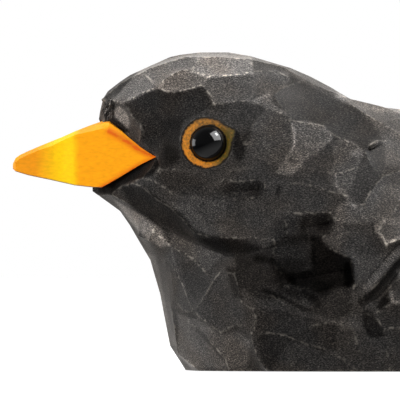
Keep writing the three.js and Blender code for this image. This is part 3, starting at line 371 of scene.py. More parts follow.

# Painted light and shade on the body: the throat, breast, neck, mantle, shoulder and wing lip marks are
# painted paler as light falling on them, and the flank, neck and wing hollows and what lies under the wing
# lip are painted darker as shade.
BODY_MARKS = (
    StainAndLightMark("throat band", spots(-17.6, 25.2, -12.0, 22.4, -8.4, 21.0, -11.0, 18.0, -13.6, 20.3,
        -17.6, 22.7), 0.9, 0.2),
    StainAndLightMark("throat edge", spots(-17.6, 22.4, -17.0, 19.6, -16.4, 17.5), 1.2, 0.25, 0.15),
    StainAndLightMark("breast notch", spots(-15.5, 15.8, -15.1, 14.6), 0.9, 0.25, 0.15),
    StainAndLightMark("breast upper", spots(-15.8, 19.6, -13.4, 19.8, -10.7, 17.2, -10.2, 15.8, -12.6, 12.4,
        -14.8, 14.4), -0.5, 0.35),
    StainAndLightMark("throat notch", spots(-7.8, 19.0, -6.2, 18.8), -0.1, 0.4, 0.3),
    StainAndLightMark("breast fold", spots(-13.2, 10.2, -11.8, 9.2, -10.4, 7.8), 0.5, 0.4, 0.3),
    StainAndLightMark("breast rear", spots(-7.6, 18.6, -5.6, 18.6, -5.0, 13.4, -6.2, 13.2), -1.4, 0.5),
    StainAndLightMark("breast low", spots(-16.4, 10.2, -13.0, 9.4, -8.6, 6.6, -5.4, 7.2, -3.2, 5.6, -3.8, 0.4,
        -13.8, 0.4, -16.4, 2.6), 1.1, 0.3),
    StainAndLightMark("breast crease", spots(-12.8, 7.4, -11.0, 5.4, -9.4, 3.7, -8.0, 2.1), -1.1, 0.4, 0.2),
    StainAndLightMark("belly", spots(-2.6, 11.6, 3.0, 10.8, 8.0, 9.6, 12.0, 8.4, 12.4, 4.0, 9.6, 3.8, 3.8, 5.4,
        1.0, 1.0, -0.4, 0.6, -2.0, 4.0, -2.4, 8.0), -0.65, 0.3),
    StainAndLightMark("flank shade", spots(-6.6, 21.0, 1.6, 22.8, 0.6, 19.6, -5.8, 18.6), -0.3, 0.4),
    StainAndLightMark("flank front", spots(-6.0, 20.6, -1.0, 21.6, 3.0, 24.6, 8.0, 24.2, 8.4, 20.0, 3.6, 17.0,
        2.0, 13.2, -1.6, 13.0, -5.2, 15.2), -1.1, 0.4),
    StainAndLightMark("flank fold", spots(-2.0, 20.4, 0.4, 20.0, 2.4, 18.0, 4.4, 16.2), -1.8, 0.6, 0.5),
    StainAndLightMark("flank dark", spots(0.2, 20.2, 3.6, 20.6, 7.6, 19.6, 7.8, 17.0, 12.6, 15.2, 10.4, 13.4,
        6.0, 12.4, 2.4, 13.4, 1.2, 16.6), -0.9, 0.7),
    StainAndLightMark("flank hollow", spots(7.8, 24.4, 9.4, 24.0, 10.4, 22.6, 11.2, 22.1, 13.0, 21.1, 14.8, 20.4,
        15.1, 19.4, 15.3, 17.4, 15.5, 15.9, 14.0, 15.2, 12.0, 15.2, 9.4, 14.2, 7.0, 15.0, 5.0, 15.2,
        3.2, 16.0, 4.0, 17.6, 7.8, 18.4), -2.7, 0.5),
    StainAndLightMark("breast edge", spots(-22.0, 21.4, -20.4, 20.6, -19.4, 16.0, -18.0, 9.0, -16.8, 4.6,
        -18.6, 4.0, -21.0, 14.0), 0.8, 0.4),
    StainAndLightMark("flank hollow wall", spots(14.4, 19.0, 14.5, 17.4, 14.4, 15.9), -2.4, 0.4, 0.7),
    StainAndLightMark("flank lower", spots(6.0, 15.0, 14.8, 15.0, 15.0, 11.0, 12.6, 9.2, 8.0, 10.6), -0.8, 0.4),
    StainAndLightMark("flank arc", spots(-1.0, 14.6, 1.8, 13.6, 4.2, 12.4, 6.2, 11.3, 7.4, 11.0), -1.9, 0.4, 0.3),
    StainAndLightMark("flank nicks", spots(3.4, 14.4, 6.6, 14.0, 8.0, 13.4, 9.0, 12.0), -1.2, 0.5, 0.5),
    StainAndLightMark("flank knob", spots(12.4, 9.4, 15.0, 9.8, 16.4, 8.8, 15.0, 7.6, 13.2, 8.0), 0.5, 0.3),
    StainAndLightMark("neck hollow", spots(6.0, 27.6, 7.4, 28.4, 10.9, 28.5, 11.9, 27.2, 11.8, 26.0, 11.0, 24.5,
        9.4, 23.9, 7.0, 23.4, 5.6, 25.0), -1.0, 0.35),
    StainAndLightMark("neck hollow end", spots(8.6, 27.8, 11.2, 27.9, 11.5, 26.2, 10.4, 25.2, 8.8, 25.6), -0.8,
        0.5),
    StainAndLightMark("neck hollow front", spots(1.0, 27.6, 6.8, 27.6, 6.8, 23.4, 0.6, 22.6), -0.8, 0.9),
    StainAndLightMark("mantle edge", spots(13.0, 49.8, 16.0, 48.6, 20.4, 47.6, 26.0, 47.0), 2.2, 0.6, 0.7),
    StainAndLightMark("mantle", spots(15.6, 48.0, 19.6, 43.8, 20.8, 41.2, 21.0, 37.0, 28.0, 36.6, 28.0, 46.4),
        1.35, 0.5),
    StainAndLightMark("neck lit", spots(11.4, 41.0, 13.2, 42.2, 15.4, 41.4, 17.4, 40.0, 16.8, 38.0, 15.8, 36.0,
        15.2, 33.4, 13.8, 32.2, 11.4, 33.4, 10.6, 35.4, 12.0, 37.6), 1.0, 0.25),
    StainAndLightMark("neck spot", spots(15.6, 39.3, 16.6, 39.4), 1.5, 0.5, 0.6),
    StainAndLightMark("neck wear", spots(12.2, 35.0, 12.6, 33.0, 14.4, 31.2, 15.4, 29.8), 1.2, 0.4, 0.4),
    StainAndLightMark("splinter", spots(18.2, 39.9, 19.2, 40.5, 20.6, 41.0), -1.0, 0.25, 0.12),
    StainAndLightMark("splinter lit", spots(18.6, 40.9, 19.8, 41.5), 2.6, 0.2, 0.2),
    StainAndLightMark("collar", spots(12.0, 29.4, 13.6, 30.8, 15.4, 30.2, 17.2, 30.2, 18.2, 28.0, 18.6, 26.9,
        14.2, 26.6, 12.2, 27.0), 1.3, 0.25),
    StainAndLightMark("shoulder hollow", spots(9.8, 24.2, 12.4, 22.2, 13.6, 23.4, 13.4, 25.2, 12.6, 26.6,
        11.6, 25.4), 0.8, 0.3),
    StainAndLightMark("shoulder", spots(17.3, 30.1, 18.2, 32.2, 20.0, 33.6, 28.0, 34.0, 28.0, 26.0, 19.8, 26.6,
        18.6, 27.0), 0.85, 0.25),
    StainAndLightMark("shoulder corner", spots(19.6, 26.4, 21.4, 23.2, 27.0, 24.8, 27.0, 28.4, 20.6, 27.6), 1.0,
        0.25),
    StainAndLightMark("shoulder rim", spots(19.4, 26.2, 19.8, 25.1, 21.2, 23.1, 24.0, 24.1), 2.2, 0.3, 0.4),
    StainAndLightMark("wing front", spots(15.6, 21.0, 19.0, 20.8, 21.8, 21.6, 17.0, 15.2, 15.6, 15.4), 0.6, 0.3),
    StainAndLightMark("lip lit", spots(17.8, 15.0, 19.4, 17.0, 21.4, 19.4, 23.4, 21.6), 1.5, 0.4, 0.6),
    StainAndLightMark("under the wing lip", spots(16.6, 12.6, 18.2, 13.7, 19.8, 15.4, 21.5, 17.4, 23.3, 19.7,
        25.0, 21.4), -1.5, 0.4, 0.6),
    StainAndLightMark("wing plate rim", spots(23.0, 18.2, 23.6, 16.4, 25.5, 16.4, 25.5, 19.4), 2.2, 0.3),
    StainAndLightMark("wing corner", spots(19.5, 11.5, 19.9, 12.6, 21.4, 14.2, 21.8, 12.4, 20.4, 11.2), -2.1,
        0.3),
    StainAndLightMark("wing rim", spots(22.1, 14.2, 22.2, 12.5, 24.0, 12.6), 2.1, 0.3, 0.25),
    StainAndLightMark("wing plate", spots(19.6, 11.0, 22.4, 12.2, 27.0, 12.0, 27.0, 8.0, 20.8, 8.0), -0.3, 0.25),
    StainAndLightMark("wing tongue", spots(17.0, 10.8, 18.4, 11.2, 19.2, 9.6, 20.3, 7.6, 20.7, 6.6, 19.5, 6.0,
        18.0, 6.3, 17.0, 8.0), -1.2, 0.3),
)


@dataclass(frozen=True)
class EyeLayout:
    """Places and sizes of an eye, in millimetres from the bead's centre as seen from the side.

    Far is more than a ring reaches, and beside is nearer to the bird's middle than a ring lies. A ring's
    paint is thinnest at the angle -thin_turn, and the ring is painted brightest, as painted light, at minus
    its light turn.
    """

    bead_radius: float = 3.5
    clearance: float = 0.35
    ring_radius: float = 4.76
    ring_offset: Place = (-0.3, 0.08)
    seat_radius: float = 3.22
    rim_height: float = 0.08
    rim_width: float = 0.7
    # Width of the band next to the bead that is painted dark as the bead's painted shadow.
    bead_shadow_width: float = 0.3
    crest_height: float = 0.12
    crest_share: float = 0.45
    corner: Place = (5.1, 2.5)
    corner_sweep: float = 26.0
    steps: int = 28
    far: float = 8.0
    beside: float = 5.0
    thin_turn: float = 0.25
    # The turn at which the ring is painted lightest, as painted light.
    ring_light_turn: float = 2.2

    @property
    def corner_angle(self) -> float:
        """Gives the direction of the ring's rear corner."""
        return math.atan2(self.corner[1], self.corner[0])

    def outer_radius(self, angle: float) -> float:
        """Gives how far the ring's outer edge is from the bead's centre.

        Args:
            angle: The direction, from the x axis towards z.

        Returns:
            The distance in millimetres.
        """
        away = abs((angle - self.corner_angle + math.pi) % math.tau - math.pi)
        pull = max(0.0, 1 - away / math.radians(self.corner_sweep))
        shifted = self.ring_offset[0] * math.cos(angle) + self.ring_offset[1] * math.sin(angle)
        radius = self.ring_radius + shifted
        return radius + pull ** 1.5 * (math.hypot(*self.corner) - radius)


@dataclass
class Skin:
    """A closed mesh in millimetres as arrays, with the sums over each vertex's neighbours."""

    points: Array
    faces: list[tuple[int, ...]]
    edges: Array = field(init=False)

    def __post_init__(self) -> None:
        """Finds the edges and lists each vertex's neighbours."""
        pairs = {tuple(sorted((f[k - 1], f[k]))) for f in self.faces for k in range(len(f))}
        self.edges = np.array(sorted(pairs))
        both = np.concatenate([self.edges, self.edges[:, ::-1]])
        both = both[np.argsort(both[:, 0], kind="stable")]
        self.near = both[:, 1]
        self.degree = np.bincount(both[:, 0], minlength=len(self.points)).astype(float)
        self.starts = np.concatenate([[0], np.cumsum(self.degree)[:-1]]).astype(int)

    def open_edges(self) -> list[tuple[int, int]]:
        """Lists the edges that have only one face."""
        count: dict[tuple[int, int], int] = {}
        for f in self.faces:
            for k in range(len(f)):
                pair = (min(f[k - 1], f[k]), max(f[k - 1], f[k]))
                count[pair] = count.get(pair, 0) + 1
        return [pair for pair, number in count.items() if number == 1]

    def gathered(self, values: Array) -> Array:
        """Sums values over each vertex's neighbours.

        Args:
            values: One row for each vertex.

        Returns:
            The sums, one row for each vertex.
        """
        return np.add.reduceat(values[self.near], self.starts, axis=0)

    def smoothed(self, values: Array, rounds: int, weight: Array) -> Array:
        """Averages values with their neighbours.

        Args:
            values: One row for each vertex.
            rounds: How often.
            weight: How much of each step a vertex takes, from 0 to 1.

        Returns:
            The smoothed values.
        """
        out = values.copy()
        share = (0.5 * weight)[:, None]
        for _ in range(rounds):
            out += share * (self.gathered(out) / self.degree[:, None] - out)
        return out

    def normals(self, points: Array) -> Array:
        """Finds outward unit normals at the vertices.

        Args:
            points: The vertices.

        Returns:
            One unit vector for each.
        """
        out = np.zeros_like(points)
        quads = np.array([f if len(f) == 4 else (*f, f[2]) for f in self.faces])
        a, b, c, d = (points[quads[:, k]] for k in range(4))
        facing = np.cross(c - a, d - b)
        for k in range(4):
            for axis in range(3):
                out[:, axis] += np.bincount(quads[:, k], facing[:, axis], minlength=len(points))
        return out / np.maximum(np.linalg.norm(out, axis=1, keepdims=True), 1e-9)

    def draped(self, points: Array, fixed: Array, push: Array, rounds: int = 260) -> Array:
        """Stretches the free vertices like a skin between the fixed ones.

        Args:
            points: Where the vertices are, and for the fixed ones where they stay.
            fixed: True for the fixed vertices.
            push: How far each free vertex is pushed from the middle of its neighbours.
            rounds: Most steps of the conjugate gradient method.

        Returns:
            The new places.
        """
        free = (~fixed)[:, None].astype(float)
        degree = self.degree[:, None]
        held = self.gathered(points * (1 - free)) + push * degree

        def apply(x: Array) -> Array:
            """Applies the free vertices' equations."""
            return (degree * x - self.gathered(x * free)) * free

        x = points * free
        rest = held * free - apply(x)
        step = rest.copy()
        size = (rest * rest).sum(0)
        for _ in range(rounds):
            turned = apply(step)
            alpha = size / np.maximum((step * turned).sum(0), 1e-12)
            x += alpha * step
            rest -= alpha * turned
            new = (rest * rest).sum(0)
            if new.max() < 1e-6:
                break
            step = rest + (new / np.maximum(size, 1e-12)) * step
            size = new
        return x + points * (1 - free)


def linear(code: str) -> tuple[float, float, float, float]:
    """Turns an sRGB colour to the linear values that shaders take.

    Args:
        code: The colour as six hex digits.

    Returns:
        Red, green, blue and an opacity of 1.
    """
    parts = [int(code[k:k + 2], 16) / 255 for k in (0, 2, 4)]
    red, green, blue = (v / 12.92 if v <= 0.04045 else ((v + 0.055) / 1.055) ** 2.4 for v in parts)
    return red, green, blue, 1.0


def add_node(tree: bpy.types.NodeTree, kind: str, inputs: dict | None = None,
             **settings: object) -> bpy.types.Node:
    """Adds a node with its settings, values and links.

    Args:
        tree: The node tree.
        kind: The node's type name.
        inputs: For each input's name or number its value, or the output that it is linked to.
        settings: The node's own settings.

    Returns:
        The node.
    """
    node = tree.nodes.new(kind)
    for name, value in settings.items():
        setattr(node, name, value)
    for socket, value in (inputs or {}).items():
        if isinstance(value, bpy.types.NodeSocket):
            tree.links.new(value, node.inputs[socket])
        else:
            node.inputs[socket].default_value = value
    return node


def new_material(name: str, values: dict[str, object]) -> Started:
    """Starts a material with plain values on its shader.

    Args:
        name: The material's name.
        values: The shader's values by socket.

    Returns:
        The material, its node tree and its shader.
    """
    material = bpy.data.materials.new(name)
    material.use_nodes = True
    tree = material.node_tree
    shader = tree.nodes["Principled BSDF"]
    for socket, value in values.items():
        shader.inputs[socket].default_value = value
    return material, tree, shader


def new_tree(name: str, inputs: dict[str, str]) -> tuple[bpy.types.NodeTree, Given]:
    """Starts a Geometry Nodes tree with named inputs, of which the first is the geometry.

    Args:
        name: The tree's name.
        inputs: For each further input its socket type.

    Returns:
        The tree, and the outputs of its input node by name.
    """
    tree = bpy.data.node_groups.new(name, "GeometryNodeTree")
    tree.interface.new_socket("Geometry", in_out="OUTPUT", socket_type="NodeSocketGeometry")
    for label, kind in {"Geometry": "NodeSocketGeometry", **inputs}.items():
        tree.interface.new_socket(label, in_out="INPUT", socket_type=kind)
    start = tree.nodes.new("NodeGroupInput")
    return tree, {socket.name: socket for socket in start.outputs if socket.name}


def end_tree(tree: bpy.types.NodeTree, given: Given, points: bpy.types.NodeSocket, copies: Given,
             tones: tuple[float, float]) -> None:
    """Ends a tree with a copy on each point, toned at random, made real and given its finish.

    Args:
        tree: The tree.
        given: The tree's named inputs.
        points: The points.
        copies: What stands on each, with its rotation and scale, by socket.
        tones: The least and the most of a copy's tone.
    """
    add = partial(add_node, tree)
    tone = add("FunctionNodeRandomValue", {2: tones[0], 3: tones[1], "Seed": given["Seed"]},
               data_type="FLOAT")
    toned = add("GeometryNodeStoreNamedAttribute", {
        "Geometry": points, "Name": "tone", "Value": tone.outputs[1]}, data_type="FLOAT", domain="POINT")
    placed = add("GeometryNodeInstanceOnPoints", {"Points": toned.outputs["Geometry"], **copies})
    real = add("GeometryNodeRealizeInstances", {"Geometry": placed.outputs["Instances"]})
    smooth = add("GeometryNodeSetShadeSmooth", {"Geometry": real.outputs["Geometry"]})
    dressed = add("GeometryNodeSetMaterial", {
        "Geometry": smooth.outputs["Geometry"], "Material": given["Finish"]})
    add("NodeGroupOutput", {0: dressed.outputs["Geometry"]})


def new_object(name: str, data: bpy.types.ID) -> bpy.types.Object:
    """Adds an object to the scene.

    Args:
        name: Its name.
        data: Its mesh, lens or lamp.

    Returns:
        The object.
    """
    made = bpy.data.objects.new(name, data)
    bpy.context.scene.collection.objects.link(made)
    return made


def evaluated(piece: bpy.types.Object) -> bpy.types.Mesh:
    """Gives a new mesh with what a piece's modifier makes of it."""
    graph = bpy.context.evaluated_depsgraph_get()
    return bpy.data.meshes.new_from_object(piece.evaluated_get(graph))


def store(mesh: bpy.types.Mesh, name: str, values: Array) -> None:
    """Stores a number or a vector at each vertex of a mesh.

    Args:
        mesh: The mesh.
        name: The attribute's name.
        values: One number or row for each vertex.
    """
    kind, label = ("FLOAT", "value") if values.ndim == 1 else ("FLOAT_VECTOR", "vector")
    attribute = mesh.attributes.new(name, kind, "POINT")
    attribute.data.foreach_set(label, values.astype(np.float32).ravel())


def grown(host: bpy.types.Mesh, tree: bpy.types.NodeTree, values: dict[str, object]) -> bpy.types.Object:
    """Runs a tree on a mesh and keeps what it makes.

    Args:
        host: The mesh that the tree starts from.
        tree: The tree.
        values: For each named input its value.

    Returns:
        What grew, as a piece that rides on the model's body.
    """
    piece = new_object(tree.name, host)
    modifier = piece.modifiers.new(tree.name, "NODES")
    modifier.node_group = tree
    for item in tree.interface.items_tree:
        if item.in_out == "INPUT" and item.name in values:
            modifier[item.identifier] = values[item.name]
    mesh = evaluated(piece)
    piece.modifiers.clear()
    piece.data = mesh
    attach(piece, "root")
    return piece


@dataclass
class Bill:
    """The bill: flat sides that widen from the tip, a paler facet along the top and a bevel down the rear.

    Args:
        rows: From the tip back: x, half thickness and the heights of the top, of the bevel, of the side
            facet's upper edge and of the foot, in millimetres.
        bevel: Width of the bevel behind the facet along the top.
        foot_rise: How far the lower edge of the side stands over the foot.
        step: Size of a face.
        hollow: Depth of the hollow that the knife leaves across the sides, in front of the kink.
        kink: Where along the body the flat sides turn inwards.
        margin: Width of the deeper orange along the rear edges.
        fold_at: Where along the body the facet along the top starts to turn into the bevel.
        fold_length: How long it takes.
        divisions: Number of faces along each stretch of a cross section.
        flats: Which stretches are the flat sides.
    """

    rows: tuple[tuple[float, ...], ...] = (
        (-46.38, 0.60, 37.5, 37.4, 37.1, 36.6),
        (-45.9, 1.00, 38.5, 38.2, 37.8, 36.1),
        (-45.1, 1.25, 39.1, 38.8, 38.4, 35.85),
        (-43.6, 1.65, 39.8, 39.5, 39.1, 35.4),
        (-41.5, 2.25, 40.7, 40.5, 40.0, 34.95),
        (-39.3, 2.90, 41.6, 41.3, 40.7, 34.5),
        (-37.3, 3.65, 42.4, 42.1, 41.7, 34.05),
        (-35.1, 4.70, 43.4, 43.1, 42.7, 33.55),
        (-32.0, 5.79, 44.6, 44.2, 43.4, 33.2),
        (-30.2, 6.42, 45.2, 44.8, 43.8, 33.1),
        (-28.9, 6.88, 45.5, 44.95, 43.4, 33.75),
        (-26.7, 7.65, 44.65, 43.4, 42.2, 35.05),
        (-25.1, 8.21, 43.65, 42.05, 41.1, 36.0),
        (-23.3, 8.85, 42.35, 40.65, 39.9, 37.1),
        (-21.1, 9.62, 40.8, 39.3, 38.9, 38.2),
        (-20.2, 9.93, 40.2, 38.8, 38.7, 38.6),
    )
    bevel: float = 0.45
    foot_rise: float = 0.15
    step: float = 0.4
    hollow: float = 0.06
    kink: float = -35.1
    margin: float = 0.9
    fold_at: float = -32.0
    fold_length: float = 3.1
    divisions: tuple[int, ...] = (5, 3, 12, 3, 4, 3, 12, 3, 5, 2)
    flats: tuple[int, int] = (2, 6)

    def half(self, x: float | Array) -> float | Array:
        """Gives the half thickness at x."""
        table = np.array(self.rows)
        return np.interp(x, table[:, 0], table[:, 1])

    def outline(self) -> list[Place]:
        """Gives the bill's outline from the side, as x and z."""
        over = [(row[0], max(row[2], row[3]) if row[0] < -30 else row[3]) for row in self.rows]
        under = [(row[0], row[5]) for row in reversed(self.rows)]
        return over + under

    def section(self, row: Array) -> list[Array]:
        """Places the corners of a cross section, from the top down the left side and up the right.

        Args:
            row: x, half thickness and the four heights.

        Returns:
            The corners in millimetres.
        """
        x, half, top, outer, upper, foot = row
        blend = np.clip((x - self.fold_at) / self.fold_length, 0, 1)
        outer_half = (1 - blend) * 0.5 * half + blend * (half - self.bevel)
        left = [(half * 0.12, top), (outer_half, outer), (half, upper), (half, foot + self.foot_rise),
                (half * 0.5, foot)]
        corners = [np.array([x, -y, z]) for y, z in left]
        return corners + [np.array([x, y, z]) for y, z in reversed(left)]

    def build(self) -> bpy.types.Object:
        """Lofts the bill as a closed mesh.

        Returns:
            The bill, to be joined to the head.
        """
        table = np.array(self.rows)
        places: list[float] = []
        for start, end in zip(table[:-1, 0], table[1:, 0]):
            count = max(1, round((end - start) / self.step))
            places += list(np.linspace(start, end, count, endpoint=False))
        places.append(table[-1, 0])
        rings = []
        for x in places:
            row = np.array([np.interp(x, table[:, 0], column) for column in table.T])
            corners = self.section(row)
            ring = []
            for k, corner in enumerate(corners):
                after = corners[(k + 1) % len(corners)]
                for step in range(self.divisions[k]):
                    share = step / self.divisions[k]
                    point = corner * (1 - share) + after * share
                    if k in self.flats and x < self.kink:
                        dip = self.hollow * math.sin(math.pi * share) * min(1.0, row[1] / 4)
                        point[1] -= math.copysign(dip * min(1.0, (self.kink - x) / 2), point[1])
                    ring.append(point)
            rings.append(ring)
        size = len(rings[0])
        points = [p for ring in rings for p in ring]
        faces = []
        for r in range(len(rings) - 1):
            for k in range(size):
                a, b = r * size + k, r * size + (k + 1) % size
                faces.append((a, b, b + size, a + size))
        faces.append(tuple(range(size - 1, -1, -1)))
        faces.append(tuple(range((len(rings) - 1) * size, len(rings) * size)))
        mesh = bpy.data.meshes.new("bill")
        mesh.from_pydata([tuple((p + [SHIFT, 0, 0]) * MM) for p in points], [], faces)
        work = bmesh.new()
        work.from_mesh(mesh)
        bmesh.ops.recalc_face_normals(work, faces=work.faces)
        bmesh.ops.triangulate(work, faces=work.faces)
        work.to_mesh(mesh)
        work.free()
        return new_object("bill", mesh)


@dataclass
class CarvedBust:
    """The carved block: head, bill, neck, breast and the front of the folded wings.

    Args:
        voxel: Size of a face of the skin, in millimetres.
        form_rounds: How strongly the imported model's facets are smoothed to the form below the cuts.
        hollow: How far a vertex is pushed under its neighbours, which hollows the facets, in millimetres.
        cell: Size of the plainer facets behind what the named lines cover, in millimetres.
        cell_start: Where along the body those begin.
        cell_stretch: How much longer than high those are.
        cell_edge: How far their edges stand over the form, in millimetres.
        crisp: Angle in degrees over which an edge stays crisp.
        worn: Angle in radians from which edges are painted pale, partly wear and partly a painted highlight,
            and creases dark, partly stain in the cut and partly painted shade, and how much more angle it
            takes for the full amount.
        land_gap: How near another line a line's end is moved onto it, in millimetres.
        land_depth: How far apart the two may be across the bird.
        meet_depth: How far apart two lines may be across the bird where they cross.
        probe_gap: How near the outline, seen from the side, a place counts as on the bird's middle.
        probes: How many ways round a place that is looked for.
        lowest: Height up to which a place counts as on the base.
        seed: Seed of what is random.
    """

    voxel: float = 0.42
    form_rounds: int = 150
    hollow: float = 0.0010
    cell: float = 9.0
    cell_start: float = 24.5
    cell_stretch: float = 1.35
    cell_edge: float = 0.2
    crisp: float = 11.0
    worn: Place = (0.12, 0.35)
    land_gap: float = 0.65
    land_depth: float = 3.0
    meet_depth: float = 4.0
    probe_gap: float = 0.7
    probes: int = 12
    lowest: float = 0.3
    seed: int = 11
    eye: EyeLayout = EyeLayout()
    bill: Bill = field(default_factory=Bill)
    node: str = "carved_body"

    def build(self, finishes: dict[Zone, bpy.types.Material]) -> bpy.types.Object:
        """Builds the block's skin and gives it its finishes.

        Args:
            finishes: The material of each zone.

        Returns:
            The finished piece, which rides on the model's body.
        """
        self.rng = np.random.default_rng(self.seed)
        self.skin = self.remeshed()
        self.find_form()
        lines = []
        for side in Side:
            lines += self.anchored(side)
        fixed = self.snapped(lines)
        points = self.draped(fixed)
        return self.finished(points, finishes)

    def remeshed(self) -> Skin:
        """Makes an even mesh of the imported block, without its underside.

        Returns:
            The skin in millimetres, open at the base.
        """
        copy = new_object("form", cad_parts[self.node].data.copy())
        mesh = bmesh.new()
        mesh.from_mesh(copy.data)
        bmesh.ops.remove_doubles(mesh, verts=mesh.verts, dist=1e-6)
        mesh.to_mesh(copy.data)
        mesh.free()
        even = copy.modifiers.new("even", "REMESH")
        even.mode = "VOXEL"
        even.voxel_size = self.voxel * MM
        data = evaluated(copy)
        bpy.data.objects.remove(copy)
        points = np.array([v.co for v in data.vertices]) / MM
        under = points[:, 2] < 0.45 * self.voxel
        faces = [tuple(p.vertices) for p in data.polygons if not all(under[i] for i in p.vertices)]
        used = np.zeros(len(points), bool)
        used[[i for f in faces for i in f]] = True
        renumber = np.cumsum(used) - 1
        skin = Skin(points[used], [tuple(int(renumber[i]) for i in f) for f in faces])
        self.rim_edges = skin.open_edges()
        self.rim = np.zeros(len(skin.points), bool)
        self.rim[[i for pair in self.rim_edges for i in pair]] = True
        skin.points[self.rim, 2] = 0.0
        return skin

    def find_form(self) -> None:
        """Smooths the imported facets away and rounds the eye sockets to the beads."""
        points = self.skin.points
        low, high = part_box("glass_eye_left")
        self.eye_at = np.array((low + high) / 2) / MM
        self.socket = np.zeros(len(points), bool)
        for side in Side:
            self.round_socket(points, side)
        held = self.socket | self.inside(points, self.bill.outline()) | self.rim
        weight = np.where(held, 0.0, 1.0)
        weight = np.minimum(weight, self.skin.smoothed(weight[:, None], 6, np.ones(len(points)))[:, 0] ** 2)
        even = self.skin.smoothed(points, self.form_rounds, weight)
        normals = self.skin.normals(even)
        lost = ((points - even) * normals).sum(1, keepdims=True)
        lost = self.skin.smoothed(lost, self.form_rounds, weight)
        self.form = np.where(weight[:, None] > 0, even + lost * normals, points)
        self.form[self.rim] = points[self.rim]
        self.form_normals = self.skin.normals(self.form)
        self.form_tree = BVHTree.FromPolygons([Vector(p) for p in self.form], self.skin.faces)

    def round_socket(self, points: Array, side: Side) -> None:
        """Lays the vertices of an eye's socket close round the bead, up to the seat of the ring.

        Args:
            points: The skin's vertices, which are changed.
            side: Which eye.
        """
        eye = self.eye
        centre = self.eye_at * [1, -side.value, 1]
        offset = points - centre
        away = np.linalg.norm(offset, axis=1)
        wall = away < eye.bead_radius + eye.clearance + 0.3 * self.voxel
        edge = wall & (self.skin.gathered((~wall).astype(float)[:, None])[:, 0] > 0)
        out = offset[:, 1] * side.value / np.maximum(away, 1e-9)
        seat = math.sqrt(1 - (eye.seat_radius / eye.bead_radius) ** 2)
        level = np.where(edge, seat, np.minimum(out, seat - 0.02))
        flat = offset * [1, 0, 1]
        flat /= np.maximum(np.linalg.norm(flat, axis=1, keepdims=True), 1e-9)
        round_place = flat * np.sqrt(1 - level ** 2)[:, None]
        round_place[:, 1] = level * side.value
        points[wall] = (centre + round_place * (eye.bead_radius + 0.03))[wall]
        self.socket |= wall

    @staticmethod
    def inside(points: Array, outline: list[Place]) -> Array:
        """Tells which points lie in an outline, seen from the side.

        Args:
            points: Points in millimetres.
            outline: Corners as x and z, before the shift.

        Returns:
            True for each point inside.
        """
        x, z = points[:, 0] - SHIFT, points[:, 2]
        found = np.zeros(len(points), bool)
        for k, (ax, az) in enumerate(outline):
            bx, bz = outline[k - 1]
            crosses = (az > z) != (bz > z)
            with np.errstate(divide="ignore", invalid="ignore"):
                at = (bx - ax) * (z - az) / (bz - az) + ax
            found ^= crosses & (x < at)
        return found

    def anchor(self, place: Place, side: Side, height: float, seen: Seen) -> Array:
        """Finds where a named place lies on the block.

        Args:
            place: The place in millimetres.
            side: Which side of the bird.
            height: How far over the form.
            seen: How the place is given.

        Returns:
            The point in millimetres.
        """
        x = place[0] + SHIFT
        if seen is Seen.MIDDLE:
            return np.array([x, 0.0, place[1]])
        if seen is Seen.BILL:
            return np.array([x, side.value * max(self.bill.half(place[0]) + height, 0.0), place[1]])
        if seen is Seen.TOP:
            start, way = Vector((x, side.value * place[1], OVERHEAD)), Vector((0, 0, -1))
            hit, normal = self.form_tree.ray_cast(start, way)[:2]
            return np.array(hit) + np.array(normal) * height
        z = max(place[1], 0.0)
        probe = max(z, self.lowest)
        start, way = side.value * BESIDE, Vector((0, -side.value, 0))
        near_middle = False
        for turn in range(self.probes):
            angle = turn * math.tau / self.probes
            px, pz = x + self.probe_gap * math.cos(angle), probe + self.probe_gap * math.sin(angle)
            if pz > self.lowest and self.form_tree.ray_cast(Vector((px, start, pz)), way)[0] is None:
                near_middle = True
        hit, normal = self.form_tree.ray_cast(Vector((x, start, probe)), way)[:2]
        if hit is None or near_middle:
            return np.array([x, 0.0, z])
        point = np.array(hit) + np.array(normal) * height * (-1 if normal.y * side.value < 0 else 1)
        point[2] = max(point[2], 0.0) if z > self.lowest else 0.0
        return point

    def anchored(self, side: Side) -> list[list[Array]]:
        """Places every line of one side on the block.

        Args:
            side: Which side of the bird.

        Returns:
            For each line its points in three dimensions.
        """
        placed: list[list[Array]] = []
        for line in (*OUTLINE_LINES, *HEAD_LINES, *NECK_LINES, *BREAST_LINES):
            if side is Side.RIGHT and line.fine:
                continue
            count = len(line.points)
            heights = line.height if isinstance(line.height, tuple) else (line.height,) * count
            points = []
            for k, (place, height) in enumerate(zip(line.points, heights)):
                point = self.anchor(place, side, height, line.seen)
                if k in (0, count - 1) and line.seen is Seen.SIDE:
                    point = self.landed(point, placed)
                points.append(point)
            if line.seen is Seen.SIDE:
                points = self.joined(points, placed)
            placed.append(points)
        placed += self.eye_lines(side)
        return placed

    def landed(self, point: Array, placed: list[list[Array]]) -> Array:
        """Moves a line's end onto a line that is already there, where it comes close.

        Args:
            point: The end.
            placed: The lines so far.

        Returns:
            The end or the nearest point on a line.
        """
        best, found = self.land_gap, point
        for line in placed:
            for a, b in zip(line[:-1], line[1:]):
                span = b - a
                along = np.clip(np.dot(point - a, span) / max(np.dot(span, span), 1e-9), 0, 1)
                near = a + along * span
                gap = np.hypot(near[0] - point[0], near[2] - point[2])
                if gap < best and abs(near[1] - point[1]) < self.land_depth:
                    best, found = gap, near
        return found

